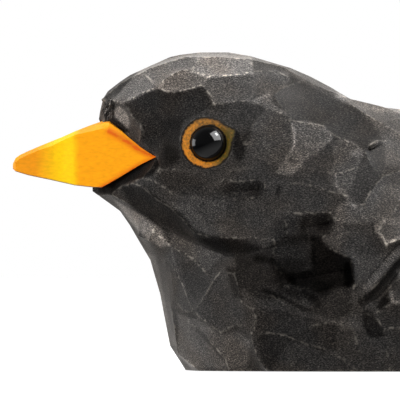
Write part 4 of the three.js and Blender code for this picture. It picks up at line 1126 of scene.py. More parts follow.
    def joined(self, points: list[Array], placed: list[list[Array]]) -> list[Array]:
        """Gives a line a corner on each line that it crosses, as seen from the side.

        Args:
            points: The line.
            placed: The lines so far.

        Returns:
            The line with the corners added.
        """
        out = [points[0]]
        for a, b in zip(points[:-1], points[1:]):
            span = (b - a)[[0, 2]]
            meets = []
            for line in placed:
                for c, d in zip(line[:-1], line[1:]):
                    other = (d - c)[[0, 2]]
                    cross = span[0] * other[1] - span[1] * other[0]
                    if abs(cross) < 1e-9:
                        continue
                    gap = (c - a)[[0, 2]]
                    along = (gap[0] * other[1] - gap[1] * other[0]) / cross
                    share = (gap[0] * span[1] - gap[1] * span[0]) / cross
                    if 0.05 < along < 0.95 and 0 <= share <= 1:
                        meet = c + share * (d - c)
                        if abs(meet[1] - (a + along * (b - a))[1]) < self.meet_depth:
                            meets.append((along, meet))
            out += [meet for _, meet in sorted(meets, key=lambda pair: pair[0])] + [b]
        return out

    def eye_lines(self, side: Side) -> list[list[Array]]:
        """Places the outer rim and the crest of the painted ring round an eye.

        Args:
            side: Which side of the bird.

        Returns:
            Two closed lines.
        """
        eye = self.eye
        centre = self.eye_at * [1, -side.value, 1]
        outer, crest = [], []
        for k in range(eye.steps + 1):
            angle = eye.corner_angle + k * math.tau / eye.steps
            edge = eye.outer_radius(angle)
            middle = eye.crest_share * edge + (1 - eye.crest_share) * eye.seat_radius
            for line, radius, height in ((outer, edge, eye.rim_height), (crest, middle, eye.crest_height)):
                place = (centre[0] - SHIFT + radius * math.cos(angle), centre[2] + radius * math.sin(angle))
                line.append(self.anchor(place, side, height, Seen.SIDE))
        return [outer, crest]

    def snapped(self, lines: list[list[Array]]) -> Array:
        """Moves the vertices nearest to each line onto it.

        Args:
            lines: The lines' points.

        Returns:
            True for each vertex that stays in its place from now on.
        """
        self.points = self.form.copy()
        self.on_line = np.full(len(self.points), -1)
        best = np.full(len(self.points), 1e9)
        form, normals, edges = self.form, self.form_normals, self.skin.edges
        # How far a vertex may be from a line that it moves onto, and how far round the line it is looked for.
        reach, band = 1.5 * self.voxel, 2.2
        for number, line in enumerate(lines):
            for a, b in zip(line[:-1], line[1:]):
                span = b - a
                length = np.linalg.norm(span)
                if length < 1e-6:
                    continue
                low, high = np.minimum(a, b) - band, np.maximum(a, b) + band
                near = np.flatnonzero(((form > low) & (form < high)).all(1) & ~self.socket)
                if not len(near):
                    continue
                offset = form[near] - a
                n = normals[near]
                flat = span - (n @ span)[:, None] * n
                flat_length = np.linalg.norm(flat, axis=1)
                flat_way = flat / np.maximum(flat_length, 1e-9)[:, None]
                along = (offset * flat_way).sum(1) / np.maximum(flat_length, 1e-9)
                cross = (np.cross(n, flat_way) * offset).sum(1)
                local = np.full(len(form), -1)
                local[near] = np.arange(len(near))
                chosen = edges[(local[edges[:, 0]] >= 0) & (local[edges[:, 1]] >= 0)]
                i, j = local[chosen[:, 0]], local[chosen[:, 1]]
                gap_i, gap_j = np.abs(cross[i]), np.abs(cross[j])
                crossing = (cross[i] * cross[j] <= 0) & (gap_i < reach) & (gap_j < reach)
                share = gap_i / np.maximum(gap_i + gap_j, 1e-9)
                at = along[i] * (1 - share) + along[j] * share
                crossing &= (at > -0.02) & (at < 1.02)
                nearer = np.unique(np.where(gap_i < gap_j, i, j)[crossing])
                gap = np.abs(cross[nearer])
                index = near[nearer]
                better = gap < best[index]
                index, kept_along = index[better], np.clip(along[nearer][better], 0, 1)
                best[index] = gap[better]
                self.points[index] = a + kept_along[:, None] * span
                self.on_line[index] = number
        self.corner_snaps(lines)
        fixed = self.on_line >= 0
        fixed |= self.cells(fixed)
        return fixed

    def corner_snaps(self, lines: list[list[Array]]) -> None:
        """Puts the nearest vertex exactly on each corner of the lines.

        Args:
            lines: The lines' points.
        """
        for number, line in enumerate(lines):
            for point in line:
                face, gap = self.form_tree.find_nearest(Vector(point))[2:]
                if face is None or gap > 2.5:
                    continue
                choices = [i for i in self.skin.faces[face] if not self.socket[i]]
                if choices:
                    index = min(choices, key=lambda i: np.linalg.norm(self.points[i] - point))
                    self.points[index] = point
                    self.on_line[index] = number

    def cells(self, fixed: Array) -> Array:
        """Adds plainer facets over the rump, as cells round scattered places.

        Args:
            fixed: The vertices that the lines already hold.

        Returns:
            True for each vertex on an edge between two cells.
        """
        form = self.form
        stretch = np.array([1 / self.cell_stretch, 1.0, 1.0])
        region = np.flatnonzero(form[:, 0] > self.cell_start - 3)
        order = self.rng.permutation(region)
        seeds: list[Array] = []
        for i in order:
            place = form[i] * stretch
            if all(np.linalg.norm(place - s) > self.cell for s in seeds):
                seeds.append(place)
        seed_array = np.array(seeds)
        gaps = np.linalg.norm(form[region, None] * stretch - seed_array[None], axis=2)
        owner = np.full(len(form), -1)
        owner[region] = gaps.argmin(1)
        edges = self.skin.edges
        chosen = edges[(owner[edges[:, 0]] >= 0) & (owner[edges[:, 1]] >= 0)]
        chosen = chosen[owner[chosen[:, 0]] != owner[chosen[:, 1]]]
        found = np.zeros(len(form), bool)
        for i, j in chosen:
            s, t = seed_array[owner[i]], seed_array[owner[j]]
            way = (t - s) / np.linalg.norm(t - s)
            middle = (s + t) / 2
            gap_i = np.dot(form[i] * stretch - middle, way)
            gap_j = np.dot(form[j] * stretch - middle, way)
            k, gap = (i, gap_i) if abs(gap_i) < abs(gap_j) else (j, gap_j)
            if fixed[k] or found[k] or form[k, 0] < self.cell_start:
                continue
            self.points[k] = (form[k] * stretch - gap * way) / stretch + self.cell_edge * self.form_normals[k]
            if self.rim[k]:
                self.points[k, 2] = 0.0
            found[k] = True
        return found

    def draped(self, fixed: Array) -> Array:
        """Lays the skin over the lines, hollowed a little between them.

        Args:
            fixed: True for the vertices on lines.

        Returns:
            Every vertex's place.
        """
        rim_index = np.flatnonzero(self.rim)
        renumber = {int(v): k for k, v in enumerate(rim_index)}
        ring = Skin(self.points[rim_index], [(renumber[a], renumber[b]) for a, b in self.rim_edges])
        held = fixed[rim_index]
        self.points[rim_index] = ring.draped(ring.points, held, np.zeros_like(ring.points), 900)
        self.points[rim_index, 2] = 0.0
        push = -self.hollow * self.form_normals
        out = self.skin.draped(self.points, fixed | self.rim | self.socket, push)
        low, high = (np.array(corner) / MM for corner in CAD_BOX)
        return np.clip(out, low + 0.001, high - 0.001)

    def finished(self, points: Array, finishes: dict[Zone, bpy.types.Material]) -> bpy.types.Object:
        """Turns the skin into the piece, closed below and joined to its bill, with its facets crisp.

        Args:
            points: Every vertex's place in millimetres.
            finishes: The material of each zone.

        Returns:
            The piece.
        """
        mesh = bpy.data.meshes.new("carved_block")
        mesh.from_pydata([tuple(p) for p in points * MM], [], self.triangles(points))
        self.close_base(mesh)
        piece = new_object("carved_bust", mesh)
        bill = self.bill.build()
        for zone in Zone:
            mesh.materials.append(finishes[zone])
            bill.data.materials.append(finishes[zone])
        self.paint_rings(mesh)
        for face in bill.data.polygons:
            face.material_index = Zone.BILL.value
        union = piece.modifiers.new("bill", "BOOLEAN")
        union.operation = "UNION"
        union.solver = "MANIFOLD"
        union.object = bill
        joined = evaluated(piece)
        piece.modifiers.clear()
        piece.data = joined
        bpy.data.objects.remove(bill)
        self.surface = BVHTree.FromPolygons(
            [v.co for v in joined.vertices], [p.vertices for p in joined.polygons])
        self.add_wear(joined)
        self.add_tones(joined)
        joined.shade_smooth()
        joined.set_sharp_from_angle(angle=math.radians(self.crisp))
        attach(piece, "root")
        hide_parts(self.node)
        return piece

    def triangles(self, points: Array) -> list[tuple[int, ...]]:
        """Splits the skin's squares so that the splits follow the lines.

        Args:
            points: Every vertex's place.

        Returns:
            The triangles' corners.
        """
        out = []
        for f in self.skin.faces:
            if len(f) == 3:
                out.append(f)
                continue
            a, b, c, d = f
            on = self.on_line[list(f)] >= 0
            split_ac, split_bd = on[0] and on[2], on[1] and on[3]
            if split_ac == split_bd:
                split_ac = np.linalg.norm(points[a] - points[c]) < np.linalg.norm(points[b] - points[d])
            out += [(a, b, c), (a, c, d)] if split_ac else [(a, b, d), (b, c, d)]
        return out

    def paint_rings(self, mesh: bpy.types.Mesh) -> None:
        """Gives the faces of the eye rings their finish.

        Args:
            mesh: The block's mesh.
        """
        eye = self.eye
        for face in mesh.polygons:
            offset = np.array(face.center) / MM - self.eye_at * [1, -1 if face.center.y > 0 else 1, 1]
            if abs(offset[0]) < eye.far and abs(offset[2]) < eye.far and abs(face.center.y) > eye.beside * MM:
                if math.hypot(offset[0], offset[2]) < eye.outer_radius(math.atan2(offset[2], offset[0])):
                    face.material_index = Zone.EYE_RING.value

    def close_base(self, mesh: bpy.types.Mesh) -> None:
        """Fills the flat underside.

        Args:
            mesh: The open skin.
        """
        work = bmesh.new()
        work.from_mesh(mesh)
        rim = [e for e in work.edges if e.is_boundary]
        bmesh.ops.triangle_fill(work, edges=rim, use_beauty=True, normal=(0, 0, -1))
        bmesh.ops.recalc_face_normals(work, faces=work.faces)
        work.to_mesh(mesh)
        work.free()

    def add_wear(self, mesh: bpy.types.Mesh) -> None:
        """Stores where edges stand proud, painted pale partly as wear and partly as a painted highlight, and
        where creases sink, painted dark partly as stain in the cut and partly as painted shade.

        Args:
            mesh: The piece's mesh.
        """
        work = bmesh.new()
        work.from_mesh(mesh)
        values = np.zeros(len(work.verts))
        for edge in work.edges:
            if edge.is_manifold:
                angle = edge.calc_face_angle_signed(0.0)
                for vertex in edge.verts:
                    if abs(angle) > abs(values[vertex.index]):
                        values[vertex.index] = angle
        work.free()
        # Painted pale ridges, partly wear and partly highlight, and painted dark creases, partly stain and
        # partly shade.
        for name, value in (("wear", values), ("crease", -values)):
            store(mesh, name, np.clip((value - self.worn[0]) / self.worn[1], 0, 1))

    def add_tones(self, mesh: bpy.types.Mesh) -> None:
        """Stores the marks' painted light and shade with their stain, how near its margin the bill's paint
        is, and the rings' thinning, ragged edges, painted light and painted bead shadow.

        Args:
            mesh: The piece's mesh.
        """
        flat = np.zeros(len(mesh.vertices) * 3, np.float32)
        mesh.vertices.foreach_get("co", flat)
        points = flat.reshape(-1, 3).astype(float) / MM
        tone = np.zeros(len(points))
        for mark in HEAD_MARKS + BODY_MARKS:
            closed = mark.width == 0
            gap = self.gap_to(points, list(mark.points), closed)
            if closed:
                gap = np.where(self.inside(points, list(mark.points)), -gap, gap)
            share = np.clip((mark.width + mark.soft - gap) / (2 * mark.soft), 0, 1)
            tone += mark.tone * share * share * (3 - 2 * share)
        rear = [(row[0], row[4]) for row in self.bill.rows if row[0] > -29.5]
        rear += [(row[0], row[5]) for row in reversed(self.bill.rows) if row[0] > -31]
        margin = np.clip(1 - self.gap_to(points, rear, False) / self.bill.margin, 0, 1)
        eye, offset = self.eye, points - self.eye_at * [1, -1, 1]
        angle = np.arctan2(offset[:, 2], offset[:, 0])
        thin = np.clip(np.cos(angle + eye.thin_turn) * 1.6 - 0.3, 0, 1)
        away = np.hypot(offset[:, 0], offset[:, 2])
        outer = np.array([
            eye.outer_radius(turn) if gap < eye.far else eye.far for turn, gap in zip(angle, away)])
        # rim: the paint's ragged outer edge, and next to the bead a band painted dark as the bead's painted
        # shadow.
        gaps = (outer - away) / eye.rim_width, (away - eye.seat_radius) / eye.bead_shadow_width
        rim = np.clip(1 - np.minimum(*gaps), 0, 1)
        # Painted light: the ring is painted brighter towards its lower front, where light falls on it.
        painted_ring_light = np.cos(angle + eye.ring_light_turn)
        named = {"tone": tone, "margin": margin, "thin": thin, "rim": rim, "painted_ring_light": painted_ring_light}
        for name, value in named.items():
            store(mesh, name, value)

    def on_surface(self, place: Place) -> tuple[Vector, Vector]:
        """Finds where a place lies on the left of the finished block.

        Args:
            place: x and z in millimetres, before the shift.

        Returns:
            The point in metres and the surface's normal.
        """
        start = Vector(((place[0] + SHIFT) * MM, -0.08, place[1] * MM))
        point, normal = self.surface.ray_cast(start, Vector((0, 1, 0)))[:2]
        return point, normal

    @staticmethod
    def gap_to(points: Array, line: list[Place], closed: bool) -> Array:
        """Measures how far points are from a line, seen from the side.

        Args:
            points: Points in millimetres.
            line: Its corners as x and z, before the shift.
            closed: Whether its last corner joins its first.

        Returns:
            The distances in millimetres.
        """
        flat = points[:, [0, 2]] - [SHIFT, 0]
        best = np.full(len(points), 1e9)
        ends = line[1:] + line[:1] if closed else line[1:]
        for a, b in zip(np.array(line), np.array(ends)):
            span = b - a
            along = np.clip(((flat - a) @ span) / max(span @ span, 1e-9), 0, 1)
            best = np.minimum(best, np.linalg.norm(flat - a - along[:, None] * span, axis=1))
        return best


@dataclass(frozen=True)
class TornPatch:
    """A place on the left side where the wood tore out instead of parting cleanly.

    Args:
        name: What it is.
        points: Its outline, x and z in millimetres.
        way: The way that the torn fibres point.
        density: Fibres for each square millimetre.
        length: Length of the longest fibre in millimetres.
    """

    name: str
    points: tuple[Place, ...]
    way: tuple[float, float, float]
    density: float
    length: float


TORN_PATCHES = (
    TornPatch("forehead_fibres", spots(-29.8, 46.6, -29.6, 48.6, -28.6, 49.5, -27.5, 49.1, -27.9, 47.5,
        -28.3, 46.2, -29.2, 46.0), (-0.25, -0.35, -0.9), 8.0, 1.6),
    TornPatch("neck_splinters", spots(17.8, 39.9, 18.2, 40.6, 20.0, 41.3, 20.4, 40.9, 18.8, 39.9),
        (0.9, -0.2, 0.4), 6.0, 1.6),
)


@dataclass(frozen=True)
class TornFibres:
    """Short slivers that stand along the surface where the wood has torn.

    Args:
        patch: The place.
        thickness: Thickness of a sliver at its root, in millimetres.
        lift: How far the slivers turn away from the surface.
        spread: How much their way varies.
        tones: The least and the most of a sliver's tone.
        seed: Seed of what is random.
    """

    patch: TornPatch
    thickness: float = 0.2
    lift: float = 0.02
    spread: float = 0.18
    tones: tuple[float, float] = (-2.2, 2.4)
    seed: int = 5

    def build(self, bust: CarvedBust, block: bpy.types.Object,
              finish: bpy.types.Material) -> bpy.types.Object:
        """Grows the slivers on the block.

        Args:
            bust: What tells which places lie in the patch.
            block: The finished block.
            finish: The stained wood.

        Returns:
            The slivers.
        """
        host = block.data.copy()
        places = np.array([v.co for v in host.vertices]) / MM
        torn = bust.inside(places, list(self.patch.points)) & (places[:, 1] < 0)
        store(host, "torn", torn)
        thick, long = self.thickness * MM, self.patch.length * MM
        return grown(host, self.tree(), {
            "Density": self.patch.density / MM ** 2, "Way": self.patch.way, "Seed": self.seed,
            "Shortest": (thick, thick, 0.4 * long), "Longest": (1.6 * thick, 0.7 * thick, long),
            "Finish": finish})

    def tree(self) -> bpy.types.NodeTree:
        """Builds the tree that scatters slivers over the torn faces."""
        tree, given = new_tree(self.patch.name, {
            "Density": "NodeSocketFloat", "Way": "NodeSocketVector", "Shortest": "NodeSocketVector",
            "Longest": "NodeSocketVector", "Seed": "NodeSocketInt", "Finish": "NodeSocketMaterial"})
        add = partial(add_node, tree)
        torn = add("GeometryNodeInputNamedAttribute", {"Name": "torn"}, data_type="FLOAT")
        density = add("ShaderNodeMath", {0: torn.outputs[0], 1: given["Density"]}, operation="MULTIPLY")
        points = add("GeometryNodeDistributePointsOnFaces", {
            "Mesh": given["Geometry"], "Density": density.outputs[0], "Seed": given["Seed"]})
        lifted = add("ShaderNodeVectorMath", {
            0: points.outputs["Normal"], 1: (self.lift,) * 3, 2: given["Way"]}, operation="MULTIPLY_ADD")
        turn = add("FunctionNodeRandomValue", {
            0: (-self.spread,) * 3, 1: (self.spread,) * 3, "Seed": given["Seed"]}, data_type="FLOAT_VECTOR")
        way = add("ShaderNodeVectorMath", {0: lifted.outputs[0], 1: turn.outputs[0]}, operation="ADD")
        rotation = add("FunctionNodeAlignRotationToVector", {"Vector": way.outputs[0]}, axis="Z")
        scale = add("FunctionNodeRandomValue", {
            0: given["Shortest"], 1: given["Longest"], "Seed": given["Seed"]}, data_type="FLOAT_VECTOR")
        sliver = add("GeometryNodeMeshCone", {
            "Vertices": 6, "Side Segments": 3, "Radius Bottom": 0.5, "Depth": 1.0})
        end_tree(tree, given, points.outputs["Points"], {
            "Instance": sliver.outputs["Mesh"], "Rotation": rotation.outputs["Rotation"],
            "Scale": scale.outputs[0]}, self.tones)
        return tree


@dataclass(frozen=True)
class WingRibs:
    """Fine ribs that the gouge chattered across the rounded edge of the folded wing.

    Args:
        lower: Places along the edge, x and z in millimetres.
        upper: Places along the crease behind it.
        count: Number of ribs.
        width: Width of a rib in millimetres.
        height: Thickness of a rib, of which half shows.
        lengths: The least and the most of a rib's length, as a share of the way between the two rows.
        tones: The least and the most of a rib's tone.
        seed: Seed of what is random.
    """

    lower: tuple[Place, ...] = spots(18.0, 14.6, 19.6, 16.4, 21.4, 18.6, 23.0, 20.6, 25.0, 22.5, 27.4, 24.1)
    upper: tuple[Place, ...] = spots(17.4, 15.8, 18.9, 17.6, 20.5, 19.5, 22.2, 21.2, 24.4, 23.2, 27.0, 24.9)
    count: int = 30
    width: float = 0.26
    height: float = 0.3
    lengths: tuple[float, float] = (0.7, 1.25)
    tones: tuple[float, float] = (0.3, 1.5)
    seed: int = 8

    def build(self, bust: CarvedBust, finish: bpy.types.Material) -> bpy.types.Object:
        """Grows the ribs along the edge.

        Args:
            bust: The block, on whose surface they sit.
            finish: The stained wood.

        Returns:
            The ribs.
        """
        middles, across, out = [], [], []
        for low, high in zip(self.lower, self.upper):
            ends = [bust.on_surface(place)[0] for place in (low, high)]
            middles.append((ends[0] + ends[1]) / 2)
            across.append(ends[1] - ends[0])
            out.append(bust.on_surface(((low[0] + high[0]) / 2, (low[1] + high[1]) / 2))[1])
        host = bpy.data.meshes.new("wing_edge")
        host.from_pydata(middles, [(k, k + 1) for k in range(len(middles) - 1)], [])
        for name, ways in (("across", across), ("out", out)):
            store(host, name, np.array(ways))
        return grown(host, self.tree(), {
            "Count": self.count, "Width": self.width * MM, "Height": self.height * MM, "Seed": self.seed,
            "Finish": finish})

    def tree(self) -> bpy.types.NodeTree:
        """Builds the tree that repeats a rib along the edge."""
        tree, given = new_tree("wing_ribs", {
            "Count": "NodeSocketInt", "Width": "NodeSocketFloat", "Height": "NodeSocketFloat",
            "Seed": "NodeSocketInt", "Finish": "NodeSocketMaterial"})
        add = partial(add_node, tree)
        edge = add("GeometryNodeMeshToCurve", {"Mesh": given["Geometry"]})
        points = add("GeometryNodeResampleCurve", {"Curve": edge.outputs[0], "Count": given["Count"]})
        across, out = (
            add("GeometryNodeInputNamedAttribute", {"Name": name}, data_type="FLOAT_VECTOR")
            for name in ("across", "out"))
        laid = add("FunctionNodeAlignRotationToVector", {"Vector": across.outputs[0]}, axis="X")
        rotation = add("FunctionNodeAlignRotationToVector", {
            "Rotation": laid.outputs[0], "Vector": out.outputs[0]}, axis="Z", pivot_axis="X")
        long = add("ShaderNodeVectorMath", {0: across.outputs[0]}, operation="LENGTH")
        share = add("FunctionNodeRandomValue", {
            2: self.lengths[0], 3: self.lengths[1], "Seed": given["Seed"]}, data_type="FLOAT")
        length = add("ShaderNodeMath", {0: long.outputs["Value"], 1: share.outputs[1]},
                     operation="MULTIPLY")
        scale = add("ShaderNodeCombineXYZ", {0: length.outputs[0], 1: given["Width"], 2: given["Height"]})
        rib = add("GeometryNodeMeshUVSphere", {"Segments": 12, "Rings": 8, "Radius": 0.5})
        end_tree(tree, given, points.outputs[0], {
            "Instance": rib.outputs["Mesh"], "Rotation": rotation.outputs[0], "Scale": scale.outputs[0]},
            self.tones)
        return tree


@dataclass
class GlassEye:
    """A round glass bead in its socket.

    Args:
        side: Which eye.
        segments: Faces round the bead.
    """

    side: Side
    segments: int = 72

    def build(self, finish: bpy.types.Material) -> bpy.types.Object:
        """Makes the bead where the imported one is.

        Args:
            finish: The glass.

        Returns:
            The bead, which rides on the model's body.
        """
        name = self.side.name.lower()
        low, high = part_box(f"glass_eye_{name}")
        work = bmesh.new()
        radius = max(high - low) / 2
        bmesh.ops.create_uvsphere(
            work, u_segments=self.segments, v_segments=self.segments // 2, radius=radius)
        bmesh.ops.translate(work, verts=work.verts, vec=(low + high) / 2)
        mesh = bpy.data.meshes.new(f"glass_bead_{name}")
        work.to_mesh(mesh)
        work.free()
        mesh.shade_smooth()
        mesh.materials.append(finish)
        bead = new_object(f"glass_bead_{name}", mesh)
        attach(bead, "root")
        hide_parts(f"glass_eye_{name}")
        return bead


@dataclass(frozen=True)
class StainedLimewood:
    """Limewood under a thin black stain, where pale fibres show through thin stain; its colour also carries
    painted light and shade:
    marks paint lit facets paler and hollows darker, ridges pale partly from wear and partly as a painted
    highlight, and creases dark partly from stain pooled in them and partly as painted shade.

    Fibre, length, blotch, flake, drift and relief are sizes of the pattern in millimetres.
    """

    black: str = "121111"
    dark: str = "222120"
    middle: str = "383533"
    pale: str = "69645F"
    bare: str = "A39B90"
    warm: tuple[float, float, float] = (1.06, 1.0, 0.94)
    cool: tuple[float, float, float] = (0.98, 1.0, 1.02)
    fibre: float = 0.13
    length: float = 2.4
    blotch: float = 2.6
    flake: float = 0.8
    drift: float = 8.0
    relief: float = 0.06
    sheen: tuple[float, float] = (0.06, 0.5)
    gloss: float = 0.12

    def build(self) -> bpy.types.Material:
        """Makes the finish.

        Returns:
            The material.
        """
        # Matt wood, dusty grey where light grazes it or the stain is thin, and deep black in the cuts; the
        # marks' painted light and shade and the creases' partly painted shade darken or pale its colour,
        # sheen and gloss.
        material, tree, shader = new_material("black_stained_limewood", {
            "Roughness": 0.45, "IOR": 1.5, "Sheen Roughness": 0.4, "Sheen Tint": linear("DAD4CE")})
        add = partial(add_node, tree)
        place = add("ShaderNodeTexCoord").outputs["Object"]
        along = add("ShaderNodeMapping", {
            "Vector": place, "Scale": (1 / self.length, 1, 1)}).outputs["Vector"]
        fibres = add("ShaderNodeTexNoise", {
            "Vector": along, "Scale": 1 / (self.fibre * MM), "Detail": 2.0, "Roughness": 0.6}).outputs["Fac"]
        blotches = add("ShaderNodeTexNoise", {
            "Vector": place, "Scale": 1 / (self.blotch * MM), "Detail": 4.0, "Roughness": 0.6}).outputs["Fac"]
        mixed = add("ShaderNodeMath", {0: blotches, 1: 0.14, 2: fibres}, operation="MULTIPLY_ADD")
        grain = add("ShaderNodeMapRange", {
            "Value": mixed.outputs[0], "From Min": 0.37, "From Max": 0.82}).outputs["Result"]
        ramp = add("ShaderNodeValToRGB", {"Fac": grain})
        ramp.color_ramp.elements[0].color = linear(self.black)
        ramp.color_ramp.elements[1].color = linear(self.pale)
        for position, code in ((0.36, self.dark), (0.6, self.middle)):
            ramp.color_ramp.elements.new(position).color = linear(code)
        wear, tone, crease = (add("ShaderNodeAttribute", attribute_name=name).outputs["Fac"]
                              for name in ("wear", "tone", "crease"))
        flakes = add("ShaderNodeTexNoise", {
            "Vector": place, "Scale": 1 / (self.flake * MM), "Detail": 2.0}).outputs["Fac"]
        patchy = add("ShaderNodeMapRange", {
            "Value": flakes, "From Min": 0.46, "From Max": 0.6, "To Max": 0.38}).outputs["Result"]
        share = add("ShaderNodeMath", {0: wear, 1: patchy}, operation="MULTIPLY").outputs[0]
        drifts = add("ShaderNodeTexNoise", {
            "Vector": place, "Scale": 1 / (self.drift * MM), "Detail": 1.0}).outputs["Fac"]
        tint = add("ShaderNodeMix", {
            "Factor": add("ShaderNodeMapRange", {
                "Value": drifts, "From Min": 0.4, "From Max": 0.6}).outputs["Result"],
            4: self.warm, 5: self.cool}, data_type="VECTOR").outputs[1]
        tinted = add("ShaderNodeVectorMath", {
            0: ramp.outputs["Color"], 1: tint}, operation="MULTIPLY").outputs["Vector"]
        # Pale bare wood along proud edges, partly wear and partly a painted highlight on the ridges.
        worn = add("ShaderNodeMix", {"Factor": share, 6: tinted, 7: linear(self.bare)}, data_type="RGBA")
        # Painted light and shade: the marks' tone, with creases darker partly as stain in the cuts and partly
        # as painted shade, scales the colour in doublings.
        thick = add("ShaderNodeMath", {0: crease, 1: -0.8, 2: tone}, operation="MULTIPLY_ADD")
        factor = add("ShaderNodeMath", {0: 2.0, 1: thick.outputs[0]}, operation="POWER").outputs[0]
        colour = add("ShaderNodeVectorMath", {0: worn.outputs[2], "Scale": factor}, operation="SCALE")
        tree.links.new(colour.outputs["Vector"], shader.inputs["Base Color"])
        # The sheen and the gloss follow the same painted light and shade.
        nap = add("ShaderNodeMapRange", {
            "Value": grain, "To Min": self.sheen[0], "To Max": self.sheen[1]}).outputs["Result"]
        held = add("ShaderNodeMath", {0: factor, 1: 2.6}, operation="MINIMUM").outputs[0]
        sheen = add("ShaderNodeMath", {0: nap, 1: held}, operation="MULTIPLY").outputs[0]
        tree.links.new(sheen, shader.inputs["Sheen Weight"])
        most = add("ShaderNodeMath", {0: factor, 1: 1.0}, operation="MINIMUM").outputs[0]
        gloss = add("ShaderNodeMath", {0: most, 1: self.gloss}, operation="MULTIPLY").outputs[0]
        tree.links.new(gloss, shader.inputs["Specular IOR Level"])
        bump = add("ShaderNodeBump", {"Height": fibres, "Strength": 0.7, "Distance": self.relief * MM})
        tree.links.new(bump.outputs["Normal"], shader.inputs["Normal"])
        return material


@dataclass(frozen=True)
class BillPaint:
    """Thick orange oil paint with brush marks, deeper along its margins, yellower on the front facet and
    darker at the tip, partly the paint's own colour and partly painted light and shade of those facets.

    Brush, blend and relief are sizes of the pattern in millimetres, and root is where the paint ends.
    """

    tip: str = "F2980F"
    band: str = "FFCB04"
    side: str = "FFA508"
    margin: str = "DE5E08"
    brush: float = 0.4
    blend: float = 3.0
    relief: float = 0.03
    root: float = -30.0

    def build(self) -> bpy.types.Material:
        """Makes the finish.

        Returns:
            The material.
        """
        # Half-glossy paint that shows the brush's way, strong orange with a yellow band at the kink and
        # darker at the tip, partly painted light and shade of those facets.
        material, tree, shader = new_material("orange_bill_paint", {
            "Roughness": 0.42, "IOR": 1.5, "Specular IOR Level": 0.22})
        add = partial(add_node, tree)
        place = add("ShaderNodeTexCoord").outputs["Object"]
        flow = add("ShaderNodeMapping", {"Vector": place, "Scale": (0.2, 1, 1)}).outputs["Vector"]
        brush = add("ShaderNodeTexNoise", {
            "Vector": flow, "Scale": 1 / (self.brush * MM), "Detail": 1.5}).outputs["Fac"]
        drift = add("ShaderNodeTexNoise", {
            "Vector": place, "Scale": 1 / (self.blend * MM), "Detail": 3.0}).outputs["Fac"]
        split = add("ShaderNodeSeparateXYZ", {0: place})
        wander = add("ShaderNodeMath", {0: drift, 1: 2 * MM, 2: split.outputs["X"]},
                     operation="MULTIPLY_ADD").outputs[0]
        start, end = (SHIFT + TIP) * MM, (SHIFT + self.root) * MM
        ramp = add("ShaderNodeValToRGB", {"Fac": add("ShaderNodeMapRange", {
            "Value": wander, "From Min": start + MM, "From Max": end + MM}).outputs["Result"]})
        ramp.color_ramp.elements[0].color = linear(self.tip)
        ramp.color_ramp.elements[1].color = linear(self.side)
        # The yellow band at the kink and the deeper orange at the tip are partly the paint's colour and
        # partly painted light and shade.
        for position, code in ((0.25, self.tip), (0.52, self.band), (0.66, self.band), (0.74, self.side)):
            ramp.color_ramp.elements.new(position).color = linear(code)
        margin = add("ShaderNodeAttribute", attribute_name="margin").outputs["Fac"]
        drawn = add("ShaderNodeMapRange", {
            "Value": brush, "From Min": 0.35, "From Max": 0.65, "To Min": 0.7,
            "To Max": 1.3}).outputs["Result"]
        edged = add("ShaderNodeMix", {
            "Factor": add("ShaderNodeMath", {0: margin, 1: drawn}, operation="MULTIPLY",
                          use_clamp=True).outputs[0],
            6: ramp.outputs["Color"], 7: linear(self.margin)}, data_type="RGBA")
        streak = add("ShaderNodeMapRange", {
            "Value": brush, "From Min": 0.3, "From Max": 0.7, "To Min": 0.91,
            "To Max": 1.06}).outputs["Result"]
        colour = add("ShaderNodeVectorMath", {0: edged.outputs[2], "Scale": streak}, operation="SCALE")
        tree.links.new(colour.outputs["Vector"], shader.inputs["Base Color"])
        bump = add("ShaderNodeBump", {"Height": brush, "Strength": 0.25, "Distance": self.relief * MM})
        tree.links.new(bump.outputs["Normal"], shader.inputs["Normal"])
        return material


